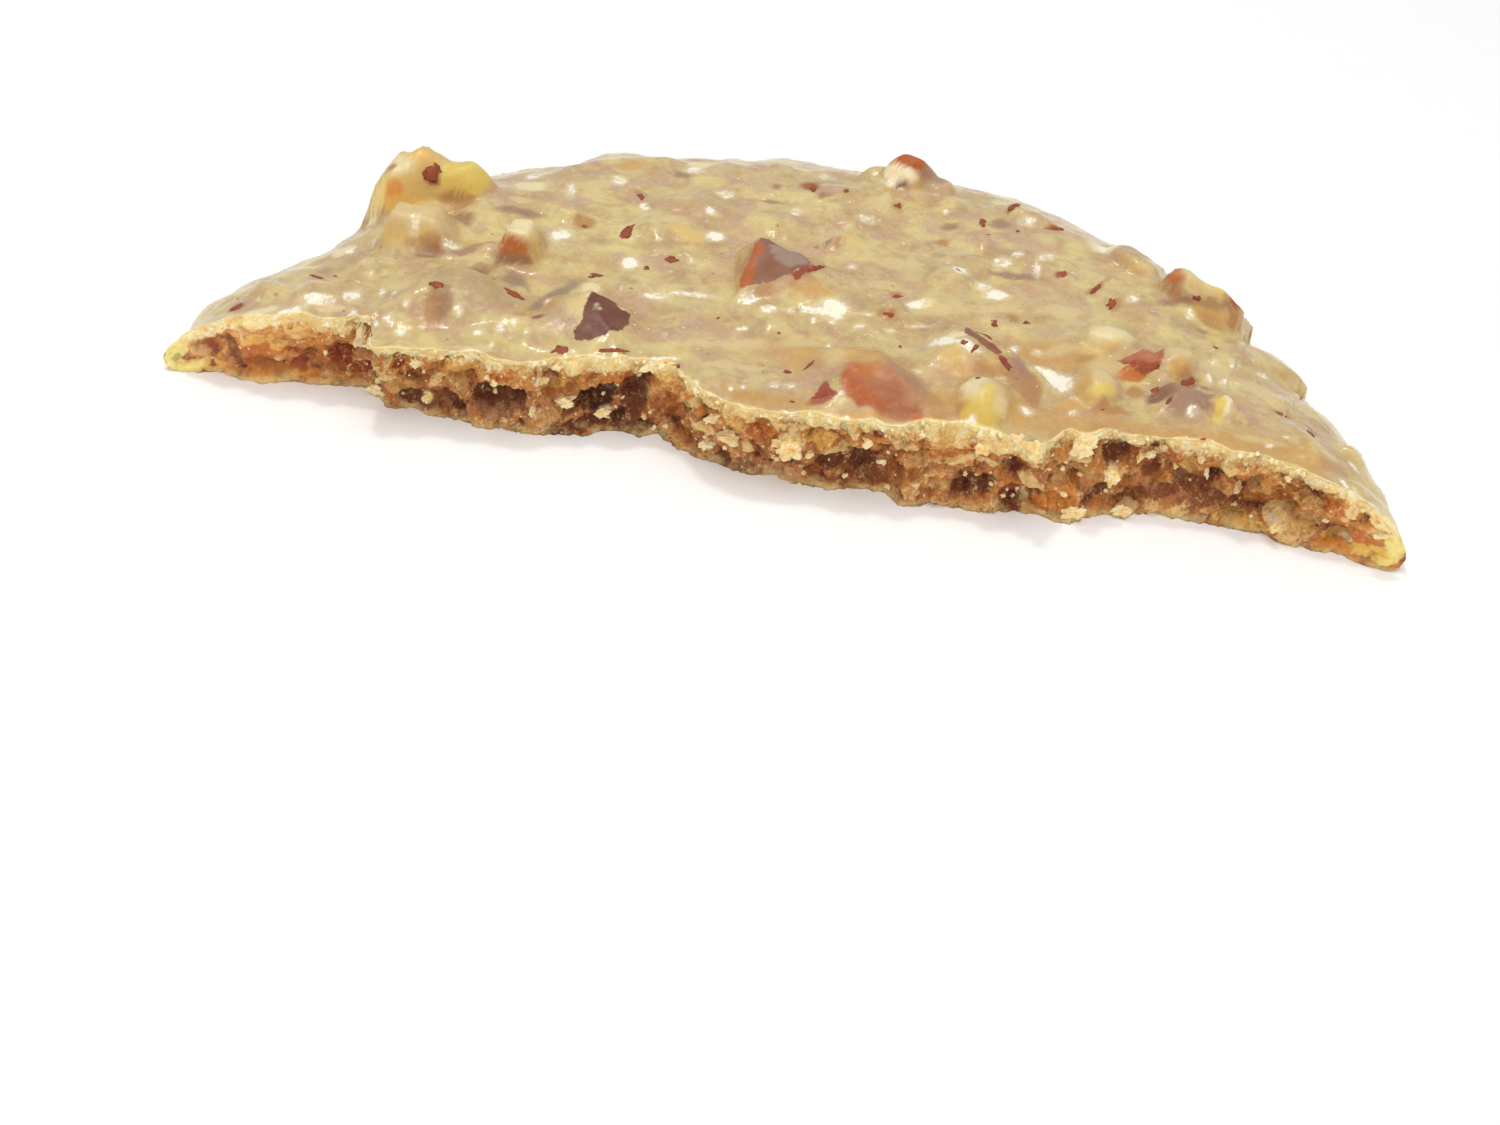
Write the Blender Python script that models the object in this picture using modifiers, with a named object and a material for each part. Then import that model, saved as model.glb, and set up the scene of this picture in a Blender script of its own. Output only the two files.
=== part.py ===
"""Half of a round pecan praline, snapped across the middle.

A praline is a thin puddle of cooked sugar and butter poured round chopped pecans. It sets with a
flat underside, a thin rounded rim and a wavy top that rides up over the nuts, and it breaks with a
crumbly face. This script pours a round, lifts its top over each pecan, snaps it along a rough line
and keeps the back half. The half lies flat: +X runs along the break, +Y from the break to the round
rim, +Z up. The origin is under the middle of the half.
"""

import math
import random
from collections import namedtuple

import bmesh
import bpy
from mathutils import Vector, noise

MM = 0.001

# Driving sizes of the whole round, before it was snapped.
ROUND_RADIUS = 45.0 * MM
SLAB_HEIGHT = 6.2 * MM
RIM_WIDTH = 12.0 * MM  # how far in from the edge the top takes to reach its full height
RIM_NOSE = 0.9 * MM  # radius of the soft lower corner where the puddle met the paper
ROUND_CENTRE = (0.0 * MM, -21.48 * MM, 0.0)  # the middle of the round, seen from that of the half

# The edge isn't a true circle: (direction in degrees from +X, how far it bulges in mm, how wide).
RIM_BULGES = (
    (3, 1.1, 7), (22, -0.5, 7), (37, 1.0, 8), (58, -0.7, 8), (100, -1.1, 24), (120, 0.9, 8),
    (157, -2.8, 11), (178, 1.3, 7),
)  # fmt: skip
REAR_THINNING = 0.09  # share of the height that the slab loses towards its far edge

# The break, as (x, y) in mm from the middle of the round, at the top skin and at the underside.
BREAK_AT_TOP = (
    (-60, 0.9), (-46, 0.9), (-40, 0.9), (-34.7, 1.5), (-29.6, 1.7), (-28.5, -1.2), (-24.5, 0.1),
    (-18, 0.1), (-14.5, 1.8), (-9.5, 3.2), (-7.2, 2.7), (-4.8, 0.1), (-1.5, -1.2), (5.9, -0.4),
    (13, 0.5), (19.4, 0.3), (21.2, 2.7), (30.3, 4.0), (35, 3.8), (40, 2.4), (46, 0.9), (60, 0.9),
)  # fmt: skip
BREAK_AT_UNDERSIDE = (
    (-60, 0.9), (-46, 0.9), (-40, 0.8), (-33.5, 2.0), (-29.6, 2.0), (-28.4, 0.8), (-21, -0.1),
    (-15, 0.3), (-8.7, 2.3), (-5.3, 0.5), (2.3, -0.5), (9, 0.3), (10, -1.0), (17.5, 0.3),
    (22.5, 0.5), (24.5, 1.9), (28.5, 3.1), (36, 2.7), (46, 0.9), (60, 0.9),
)  # fmt: skip
BREAK_CRAGS = ((3.6 * MM, 0.55 * MM), (1.7 * MM, 0.35 * MM))  # (size, depth) of the break's lumps
BREAK_HOLLOW = 0.5 * MM  # how far the middle of the face lies back from its two edges

# The top is never level: (length of a wave, its height), the coarse swells first.
TOP_WAVES = ((14.0 * MM, 0.35 * MM), (6.5 * MM, 0.20 * MM), (3.0 * MM, 0.09 * MM))

# Chopped pecans that keep their broken sides. Places and sizes are in mm from the middle of the
# round. A side is (the way it faces in degrees, how far out it reaches the candy, its steepness).
Chunk = namedtuple("Chunk", "name x y height sides")
CHUNKS = (
    Chunk("tent", -1.5, 16.3, 2.8, ((-85, 4.0, 0.58), (85, 2.9, 2.0), (190, 3.9, 1.6), (0, 6.3, 0.36))),
    Chunk("crest", -14.5, 5.6, 2.6, ((0, 4.2, 0.62), (183, 4.6, 0.58), (-92, 3.6, 0.5), (88, 3.2, 1.9))),
    Chunk("ridge", 6.5, 4.0, 1.7, ((198, 4.4, 0.6), (-76, 4.6, 0.36), (38, 4.0, 0.7), (100, 4.6, 0.9))),
    Chunk("arc", 14.2, 9.2, 1.5, ((52, 2.3, 1.6), (-112, 4.6, 0.34), (172, 4.6, 0.5), (-35, 6.0, 0.5))),
    Chunk("pip", 26.6, 12.2, 1.7, ((-100, 1.9, 0.9), (185, 2.6, 0.7), (62, 1.6, 1.3), (0, 2.0, 1.0))),
    Chunk("grey", 29.2, 8.6, 1.1, ((-92, 2.9, 0.45), (188, 2.6, 0.6), (75, 2.2, 0.9), (0, 2.2, 0.7))),
    Chunk("edge", 32.0, 23.3, 2.1, ((-62, 2.0, 1.3), (118, 1.9, 1.3), (28, 3.0, 1.2), (208, 2.8, 1.0))),
    Chunk("broad", -25.2, 6.6, 1.5, ((-75, 5.0, 0.36), (165, 5.2, 0.4), (82, 4.2, 0.7), (10, 6.0, 0.36))),
)
FACET_SOFTNESS = 0.16  # mm of candy that rounds a chunk's edges and fills its foot

# Small rounded pieces of nut: (x, y, length, width, height, direction of the length in degrees).
NUBS = (
    (14.8, 3.7, 4.0, 4.8, 2.1, 0), (22.8, 8.5, 3.6, 4.0, 1.6, 0), (23.8, 15.3, 4.6, 3.0, 1.2, 0),
    (28.8, 13.4, 3.3, 3.2, 1.6, 60), (31.8, 8.3, 2.5, 2.4, 1.3, 0), (28.9, 24.3, 3.0, 3.0, 1.9, 0),
    (6.3, 36.7, 5.0, 3.4, 2.1, 10), (-30.3, 14.6, 5.8, 5.8, 2.5, 0), (-22.1, 14.0, 3.4, 4.2, 2.7, 0),
    (-33.1, 21.2, 6.6, 5.6, 4.9, 60), (-29.2, 22.6, 5.6, 4.0, 3.0, 15), (2.4, 23.6, 3.4, 2.6, 0.8, 20),
    (-11.5, 21.6, 5.0, 4.0, 0.6, 10), (-20.8, 31.2, 5.4, 3.4, 0.9, 25), (-38.6, 5.0, 3.4, 2.4, 0.6, -25),
    (37.6, 7.2, 3.6, 2.4, 0.6, -50),
)  # fmt: skip
SMALL_NUBS = 42  # the rest of the chopped nut, deep in the candy, at random places
SMALL_NUB_SEED = 11

PUDDLE_CELL = 0.55 * MM
SNAPPED_CELL = 0.5 * MM
BREAK_CELL = 0.8 * MM
TRIANGLES = 9600
LEVEL_BELOW = 0.05 * MM  # what the new meshes leave this near the paper lies flat on it

CANDY_TAN = (0.48, 0.31, 0.15, 1.0)
CANDY_ROUGHNESS = 0.38


def wave(x, y, z, size):
    """Smooth random value from about -1 to 1, whose bumps are about size across."""
    return noise.noise(Vector((x, y, z)) / size)


def line_at(points, x):
    """Y of a line through (x, y) points in mm, with x and the result in metres."""
    for (x0, y0), (x1, y1) in zip(points, points[1:]):
        if x0 * MM <= x <= x1 * MM:
            share = (x / MM - x0) / (x1 - x0)
            return (y0 + (y1 - y0) * share) * MM
    return points[-1][1] * MM


def puddle_height(inward):
    """Height of the plain puddle, a given way in from its edge."""
    return SLAB_HEIGHT * math.sqrt(1 - (1 - min(inward / RIM_WIDTH, 1)) ** 2)


def rim_radius(angle):
    """Distance from the middle of the round to its edge, at an angle in degrees."""
    bulge = sum(out * math.exp(-(((angle - at) / wide) ** 2)) for at, out, wide in RIM_BULGES)
    ragged = 0.22 * math.sin(math.radians(angle * 11)) + 0.13 * math.sin(math.radians(angle * 23 + 40))
    return ROUND_RADIUS + (bulge + ragged) * MM


def small_nubs():
    """Places and sizes of the deep pieces, drawn once with a fixed seed."""
    draw = random.Random(SMALL_NUB_SEED)
    nubs = []
    while len(nubs) < SMALL_NUBS:
        x, y = draw.uniform(-43, 43), draw.uniform(2, 43)
        length = draw.uniform(2.2, 5.5)
        nub = (x, y, length, length * draw.uniform(0.5, 0.9), draw.uniform(0.25, 0.75), draw.uniform(-90, 90))
        if math.hypot(x, y) < 42:
            nubs.append(nub)
    return nubs


def chunk_lift(chunk, x, y):
    """How far a chunk lifts the candy at a point, all in mm. Its lowest side or its top counts."""
    lowest = chunk.height
    for way, reach, steep in chunk.sides:
        out = (x - chunk.x) * math.cos(math.radians(way)) + (y - chunk.y) * math.sin(math.radians(way))
        side = steep * (reach - out)
        gap = max(FACET_SOFTNESS - abs(lowest - side), 0) / FACET_SOFTNESS
        lowest = min(lowest, side) - gap**2 * FACET_SOFTNESS / 4
    if lowest > 6 * FACET_SOFTNESS:
        return lowest
    return FACET_SOFTNESS * math.log1p(math.exp(lowest / FACET_SOFTNESS))


def nub_lift(nub, x, y):
    """How far a rounded piece lifts the candy at a point, all in mm."""
    at_x, at_y, length, width, height, way = nub
    turn = math.radians(way)
    along = (x - at_x) * math.cos(turn) + (y - at_y) * math.sin(turn)
    across = (y - at_y) * math.cos(turn) - (x - at_x) * math.sin(turn)
    out = math.hypot(2 * along / length, 2 * across / width)
    return height / (1 + out**4.5) if out < 3 else 0.0


def top_lift(x, y, nubs):
    """How far the top at a point of the round stands above its plain puddle, in metres."""
    chunks = sum(chunk_lift(chunk, x / MM, y / MM) ** 3 for chunk in CHUNKS)
    rounded = sum(nub_lift(nub, x / MM, y / MM) ** 3 for nub in nubs)
    waves = sum(height * wave(x, y, 0.02, size) for size, height in TOP_WAVES)
    return (chunks + rounded) ** (1 / 3) * MM + waves


def new_object(name, shape, collection):
    """A new object in a collection, from a bmesh, with its faces pointing out."""
    bmesh.ops.recalc_face_normals(shape, faces=shape.faces)
    mesh = bpy.data.meshes.new(name)
    shape.to_mesh(mesh)
    shape.free()
    made = bpy.data.objects.new(name, mesh)
    collection.objects.link(made)
    return made


def apply_modifiers(made):
    """Gives the object the mesh that its modifiers make, and removes them."""
    bpy.context.view_layer.update()
    evaluated = made.evaluated_get(bpy.context.evaluated_depsgraph_get())
    shaped = bpy.data.meshes.new_from_object(evaluated)
    made.modifiers.clear()
    made.data = shaped


def even_cells(made, size):
    """Gives a solid a new mesh of even cells, which also closes what a cut left rough."""
    cells = made.modifiers.new("even_cells", "REMESH")
    cells.mode = "VOXEL"
    cells.voxel_size = size
    apply_modifiers(made)


def puddle_profile(rim_points=26, nose_points=5):
    """Half a section of the round, from the middle of its top, over the rim, to the underside."""
    section = [Vector((0, 0, SLAB_HEIGHT))]
    for step in range(rim_points):
        z = SLAB_HEIGHT + (RIM_NOSE - SLAB_HEIGHT) * (step / (rim_points - 1)) ** 1.6
        inward = RIM_WIDTH * (1 - math.sqrt(1 - (z / SLAB_HEIGHT) ** 2))
        section.append(Vector((ROUND_RADIUS - inward, 0, z)))
    corner = section[-1].x
    for step in range(1, nose_points + 1):
        angle = math.pi / 2 * step / nose_points
        reach = corner - RIM_NOSE * (1 - math.cos(angle))
        section.append(Vector((reach, 0, RIM_NOSE * (1 - math.sin(angle)))))
    section.append(Vector((0, 0, 0)))
    return section


def pour_round(collection):
    """The puddle, turned from its section, less the front that the break takes away anyway."""
    puddle = bmesh.new()
    points = [puddle.verts.new(point) for point in puddle_profile()]
    edges = [puddle.edges.new(pair) for pair in zip(points, points[1:])]
    turn = {"axis": (0, 0, 1), "cent": (0, 0, 0), "angle": 2 * math.pi, "steps": 180}
    bmesh.ops.spin(puddle, geom=points + edges, use_merge=True, **turn)
    bmesh.ops.remove_doubles(puddle, verts=puddle.verts, dist=0.01 * MM)
    everything = puddle.verts[:] + puddle.edges[:] + puddle.faces[:]
    front = {"plane_co": (0, -8 * MM, 0), "plane_no": (0, -1, 0)}
    cut = bmesh.ops.bisect_plane(puddle, geom=everything, clear_outer=True, **front)
    rim = [item for item in cut["geom_cut"] if isinstance(item, bmesh.types.BMEdge)]
    bmesh.ops.contextual_create(puddle, geom=rim)
    praline = new_object("praline", puddle, collection)
    even_cells(praline, PUDDLE_CELL)
    return praline


def shape_puddle(praline):
    """Moves the even mesh into the uneven edge and the top that rides over the pecans."""
    nubs = list(NUBS) + small_nubs()
    for vertex in praline.data.vertices:
        x, y, z = vertex.co
        reach = math.hypot(x, y)
        uneven = rim_radius(math.degrees(math.atan2(y, x))) / ROUND_RADIUS
        near_rim = min(max((reach / ROUND_RADIUS - 0.6) / 0.4, 0.0), 1.0)
        stretch = 1 + (uneven - 1) * near_rim
        x, y = x * stretch, y * stretch
        inward = max(ROUND_RADIUS - reach, 0.3 * MM)
        off_the_nose = min(inward / (2.2 * MM), 1.0)
        lifted = 1 + top_lift(x, y, nubs) * off_the_nose / puddle_height(inward)
        lifted -= REAR_THINNING * (y / ROUND_RADIUS) ** 2
        flat = z < 0.2 * PUDDLE_CELL
        vertex.co = (x, y, 0.0 if flat else z * lifted)


def rough_break(collection):
    """A block whose back face is the rough surface that the round snapped along."""
    length, height, below, front = 110 * MM, 16 * MM, 3 * MM, -40 * MM
    block = bmesh.new()
    cells = {"x_segments": round(length / BREAK_CELL), "y_segments": round(height / BREAK_CELL)}
    bmesh.ops.create_grid(block, size=0.5, **cells)
    bmesh.ops.scale(block, vec=(length, height, 1), verts=block.verts)
    for vertex in block.verts:
        x, z = vertex.co.x, vertex.co.y + height / 2 - below
        share = min(max(z / SLAB_HEIGHT, 0.0), 1.0)
        y = line_at(BREAK_AT_TOP, x) * share + line_at(BREAK_AT_UNDERSIDE, x) * (1 - share)
        y += BREAK_HOLLOW * math.sin(math.pi * share)
        y += sum(depth * wave(x, 0, z, size) for size, depth in BREAK_CRAGS)
        vertex.co = (x, y, z)
    grown = bmesh.ops.extrude_face_region(block, geom=block.faces[:])
    for item in grown["geom"]:
        if isinstance(item, bmesh.types.BMVert):
            item.co.y = front
    breaker = new_object("breaker", block, collection)
    breaker.hide_render = True
    breaker.display_type = "WIRE"
    return breaker


def snap(praline, breaker):
    """Takes away the front half along the rough surface, thins the mesh and levels its underside."""
    cut = praline.modifiers.new("snap", "BOOLEAN")
    cut.operation = "DIFFERENCE"
    cut.object = breaker
    apply_modifiers(praline)
    even_cells(praline, SNAPPED_CELL)
    triangles = sum(len(face.vertices) - 2 for face in praline.data.polygons)
    thin = praline.modifiers.new("thin", "DECIMATE")
    thin.ratio = TRIANGLES / triangles
    thin.use_collapse_triangulate = True
    apply_modifiers(praline)
    for vertex in praline.data.vertices:
        if vertex.co.z < LEVEL_BELOW:
            vertex.co.z = 0.0


def candy_material():
    """Cooked sugar, butter and cream: opaque tan with a soft shine."""
    material = bpy.data.materials.new("candy")
    material.use_nodes = True
    shader = material.node_tree.nodes["Principled BSDF"]
    shader.inputs["Base Color"].default_value = CANDY_TAN
    shader.inputs["Roughness"].default_value = CANDY_ROUGHNESS
    shader.inputs["Metallic"].default_value = 0.0
    return material


def main():
    for old in list(bpy.data.objects):
        bpy.data.objects.remove(old)
    parts = bpy.data.collections.new("pecan_praline")
    cutters = bpy.data.collections.new("cutters")
    bpy.context.scene.collection.children.link(parts)
    bpy.context.scene.collection.children.link(cutters)
    praline = pour_round(parts)
    shape_puddle(praline)
    snap(praline, rough_break(cutters))
    praline.location = ROUND_CENTRE
    praline.data.shade_smooth()
    praline.data.set_sharp_from_angle(angle=math.radians(50))
    praline.data.materials.clear()
    praline.data.materials.append(candy_material())


main()
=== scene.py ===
"""Looks of half a pecan praline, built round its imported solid.

The candy is one closed mesh: sections of the half stand side by side along the break, each going up
the broken face, over the top, round the rim and back along the underside. The broken face gets more
cells and is crumbled. Flecks of pecan skin, crumbs on the broken face and pale crumbs along its top
edge are pieces of their own.

Lengths are in metres, except where a name or comment says mm. Places are from the middle of the
round that the half was snapped from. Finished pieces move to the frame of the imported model.
"""

import math
import random
from collections import namedtuple

import bmesh
import bpy
import numpy as np
from bpy.props import FloatProperty, FloatVectorProperty, IntProperty, PointerProperty
from mathutils import Matrix, Vector, noise
from mathutils.bvhtree import BVHTree


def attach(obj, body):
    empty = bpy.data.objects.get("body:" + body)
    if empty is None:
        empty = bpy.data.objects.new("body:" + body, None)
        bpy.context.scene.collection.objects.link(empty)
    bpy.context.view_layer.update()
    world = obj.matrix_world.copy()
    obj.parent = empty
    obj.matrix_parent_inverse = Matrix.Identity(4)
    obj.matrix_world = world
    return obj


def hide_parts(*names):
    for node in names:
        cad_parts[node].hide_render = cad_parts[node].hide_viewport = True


bl_info = {
    "name": "Pecan praline half",
    "version": (1, 0, 0),
    "blender": (4, 5, 0),
    "location": "3D View > Sidebar > Praline",
    "description": "Builds half of a pecan praline on its packed solid, with its crumbs and a stage",
    "category": "Object",
}

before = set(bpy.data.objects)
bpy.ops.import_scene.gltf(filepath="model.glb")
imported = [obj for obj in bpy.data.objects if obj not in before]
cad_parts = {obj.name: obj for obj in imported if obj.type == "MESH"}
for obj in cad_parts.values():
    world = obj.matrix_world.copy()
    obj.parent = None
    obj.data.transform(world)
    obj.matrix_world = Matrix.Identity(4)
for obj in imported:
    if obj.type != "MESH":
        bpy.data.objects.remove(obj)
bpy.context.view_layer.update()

MM = 0.001
NOISE_SEED = 4
noise.seed_set(NOISE_SEED)  # unseeded, the vector noise is another one in every run

# ---------------------------------------------------------------------------------------------
# The form. The round, its rim, the break, the waves and the small nubs have the solid's values. The
# chunks and nubs are the solid's too, some of them reshaped.

ROUND_RADIUS = 45.0 * MM
SLAB_HEIGHT = 6.2 * MM
RIM_WIDTH = 12.0 * MM
RIM_NOSE = 0.9 * MM
ROUND_CENTRE = Vector((0.0, -21.48 * MM, 0.0))
RIM_BULGES = (
    (3, 1.1, 7), (22, -0.5, 7), (37, 1.0, 8), (58, -0.7, 8), (100, -1.1, 24), (120, 0.9, 8),
    (157, -2.8, 11), (178, 1.3, 7),
)  # fmt: skip
REAR_THINNING = 0.09
BREAK_AT_TOP = (
    (-60, 0.9), (-46, 0.9), (-40, 0.9), (-34.7, 1.5), (-29.6, 1.7), (-28.5, -1.2), (-24.5, 0.1),
    (-18, 0.1), (-14.5, 1.8), (-9.5, 3.2), (-7.2, 2.7), (-4.8, 0.1), (-1.5, -1.2), (5.9, -0.4),
    (13, 0.5), (19.4, 0.3), (21.2, 2.7), (30.3, 4.0), (35, 3.8), (40, 2.4), (46, 0.9), (60, 0.9),
)  # fmt: skip
BREAK_AT_UNDERSIDE = (
    (-60, 0.9), (-46, 0.9), (-40, 0.8), (-33.5, 2.0), (-29.6, 2.0), (-28.4, 0.8), (-21, -0.1),
    (-15, 0.3), (-8.7, 2.3), (-5.3, 0.5), (2.3, -0.5), (9, 0.3), (10, -1.0), (17.5, 0.3),
    (22.5, 0.5), (24.5, 1.9), (28.5, 3.1), (36, 2.7), (46, 0.9), (60, 0.9),
)  # fmt: skip
BREAK_CRAGS = ((3.6 * MM, 0.55 * MM), (1.7 * MM, 0.35 * MM))
BREAK_HOLLOW = 0.5 * MM
TOP_WAVES = ((14.0 * MM, 0.35 * MM), (6.5 * MM, 0.20 * MM), (3.0 * MM, 0.09 * MM))

# Chopped pecans that keep their broken sides, in mm. A side is (the way it faces in degrees, how
# far out it reaches the candy, its steepness). Soft is how wide the edges between sides are.
Chunk = namedtuple("Chunk", "name x y height sides soft", defaults=(0.16,))
CHUNKS = (
    Chunk("tent", -1.5, 16.3, 2.8,
          ((-85, 4.0, 0.58), (85, 2.9, 2.0), (190, 3.9, 1.6), (0, 6.3, 0.36))),
    Chunk("crest", -14.5, 5.6, 2.6,
          ((0, 4.2, 0.62), (183, 4.6, 0.58), (-92, 3.6, 0.5), (88, 3.2, 1.9))),
    Chunk("ridge", 6.5, 4.0, 1.7,
          ((198, 4.2, 0.6), (-76, 3.7, 0.5), (38, 4.0, 0.7), (100, 4.6, 0.9)), 0.35),
    Chunk("arc", 14.2, 9.2, 1.5,
          ((52, 2.3, 1.6), (-112, 3.2, 0.56), (172, 4.6, 0.5), (-35, 6.0, 0.5))),
    Chunk("pip", 26.6, 12.2, 1.7,
          ((-100, 1.9, 0.9), (185, 2.6, 0.7), (62, 1.6, 1.3), (0, 2.0, 1.0))),
    Chunk("grey", 29.2, 8.6, 1.1,
          ((-92, 2.9, 0.45), (188, 2.6, 0.6), (75, 2.2, 0.9), (0, 2.2, 0.7))),
    Chunk("edge", 31.5, 23.9, 2.3,
          ((-100, 1.6, 1.3), (80, 1.7, 1.5), (-10, 3.7, 3.0), (170, 3.4, 0.9)), 0.3),
    Chunk("block", -30.2, 14.8, 2.4,
          ((-92, 2.9, 1.7), (90, 2.6, 1.5), (8, 3.1, 1.5), (184, 2.8, 2.6)), 0.6),
    Chunk("box", -21.9, 14.2, 2.7,
          ((-90, 1.9, 3.2), (90, 1.9, 2.8), (0, 1.6, 3.8), (180, 1.7, 3.0)), 0.6),
    Chunk("broad", -25.2, 6.6, 1.5,
          ((-75, 4.2, 0.48), (165, 5.2, 0.4), (82, 4.2, 0.7), (10, 6.0, 0.36))),
)  # fmt: skip
# Rounded pieces of pecan: (x, y, length, width, height, direction).
NUBS = (
    (14.8, 3.7, 4.0, 4.8, 2.1, 0), (22.8, 8.5, 3.6, 4.0, 1.6, 0), (23.8, 15.3, 4.6, 3.0, 1.2, 0),
    (28.8, 13.4, 3.3, 3.2, 1.6, 60), (31.8, 8.3, 2.5, 2.4, 1.3, 0), (29.2, 24.8, 3.2, 3.0, 2.3, 0),
    (6.2, 36.7, 4.6, 3.4, 2.75, 10), (-33.6, 21.3, 7.0, 5.8, 5.0, 60),
    (-29.6, 22.2, 6.4, 4.2, 3.0, 10), (2.4, 23.6, 3.4, 2.6, 0.8, 20),
    (-11.5, 21.6, 5.0, 4.0, 0.6, 10), (-20.8, 31.2, 5.4, 3.4, 0.3, 25),
    (-38.6, 5.0, 3.4, 2.4, 0.6, -25), (37.6, 7.2, 3.6, 2.4, 0.6, -50),
)  # fmt: skip
SMALL_NUBS = 42
SMALL_NUB_SEED = 11
SMALL_NUB_REACH = 42  # mm from the middle of the round
DOME_SIZE, DOME_ROUNDNESS = 0.80, 0.62  # of a nub's middle
SKIRT_HEIGHT, SKIRT_FALL = 0.55, 5  # of the candy round a nub
NUB_MIDDLE = 1.02  # what dome and skirt come to in the middle, for a nub 1 mm high
NUB_END, NUB_FULL = 2.4, 1.6  # how far out a nub ends, and where it begins to fade

# ---------------------------------------------------------------------------------------------
# What the solid leaves to the looks. All in mm, unless a comment says otherwise.

RIM_RIPPLES = ((11, 0.22, 0), (23, 0.13, 40))  # waves in a round, mm and degrees further on
RIM_NOTCHES = ((3.4, 0.45), (1.5, 0.22))  # unevenness beyond the solid's: degrees and mm
FINE_WAVES = ((1.6 * MM, 0.12 * MM), (0.8 * MM, 0.05 * MM))  # beyond the solid's, in metres

TOP_WARPS = ((5.0 * MM, 2.1 * MM, 0.42), (9.0 * MM, 0.9 * MM, 0.16))  # height, size, mm aside
CHUNK_WARP = 0.45  # how much of it the chunks take

# How much further out the rim reaches than the solid's: (angle in degrees, mm).
RIM_EDGE = (
    (0, 0.1), (5, 0.0), (7, -0.2), (9, 0.7), (12, 0.5), (15, 0.3), (20, 0.1), (23, -0.4),
    (25.2, -0.8), (26, 0.8), (27, 0.9), (29, 0.3), (31, -1.6), (33, -3.1), (35, -2.2), (37, 0.0),
    (42, 0.7), (46, 0.3), (48.3, -0.4), (49.6, 1.1), (52, 1.6), (54, 2.3), (56, 1.7), (66, 1.5),
    (70, 1.1), (73, 0.3), (76, -0.2), (85, 0.5), (87, -0.7), (94, -0.1), (97, 0.5), (99, -0.2),
    (102, -1.1), (114, -1.3), (118, -0.6), (120, -0.3), (124, -2.1), (130, -1.8), (134, -1.4),
    (140, -0.4), (150, 0.3), (166, 0.0), (169, 0.5), (172, 0.4), (174, -0.4), (176.3, -1.3),
    (178.5, -0.5), (180, -0.1),
)  # fmt: skip
# Lumps along the rear that the solid has no room for, laid out as the solid's nubs are.
REAR_LUMPS = (
    (25.6, 28.6, 5.5, 3.4, 1.5, -50), (17.0, 34.0, 6.0, 2.6, 0.6, -25),
    (-15.0, 33.4, 5.0, 2.8, 0.4, 20), (29.2, 26.0, 2.4, 2.2, 0.9, 0),
    (39.6, 17.2, 2.6, 2.0, 0.7, -60), (42.2, 8.6, 2.4, 1.8, 0.7, -70),
    (3.5, 37.2, 3.0, 2.2, 1.0, 0), (8.8, 36.0, 3.2, 2.6, 1.1, 0), (-24.0, 13.4, 3.0, 2.4, 0.9, 0),
)  # fmt: skip

# Low folds that the film of candy set in: the points of the fold, its height and its half width.
FOLDS = (
    (((-19.0, 13.2), (-15.7, 12.9), (-10.8, 10.7), (-7.1, 10.9), (-2.3, 12.0), (3.0, 12.0), (6.5, 12.3),
      (10.2, 11.9)), 0.20, 0.45),
    (((12.0, 11.6), (14.9, 10.9), (17.2, 9.0), (19.3, 6.4)), 0.16, 0.35),
    (((-36.0, 8.4), (-31.0, 6.2), (-27.0, 4.0)), 0.10, 0.5),
    (((13.4, 20.6), (17.0, 18.2), (21.5, 19.2)), 0.14, 0.5),
    (((-9.0, 26.5), (-3.0, 25.2), (3.5, 26.4)), 0.10, 0.5),
    (((19.0, 26.5), (24.0, 24.5), (29.0, 20.5)), 0.12, 0.5),
)  # fmt: skip

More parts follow.
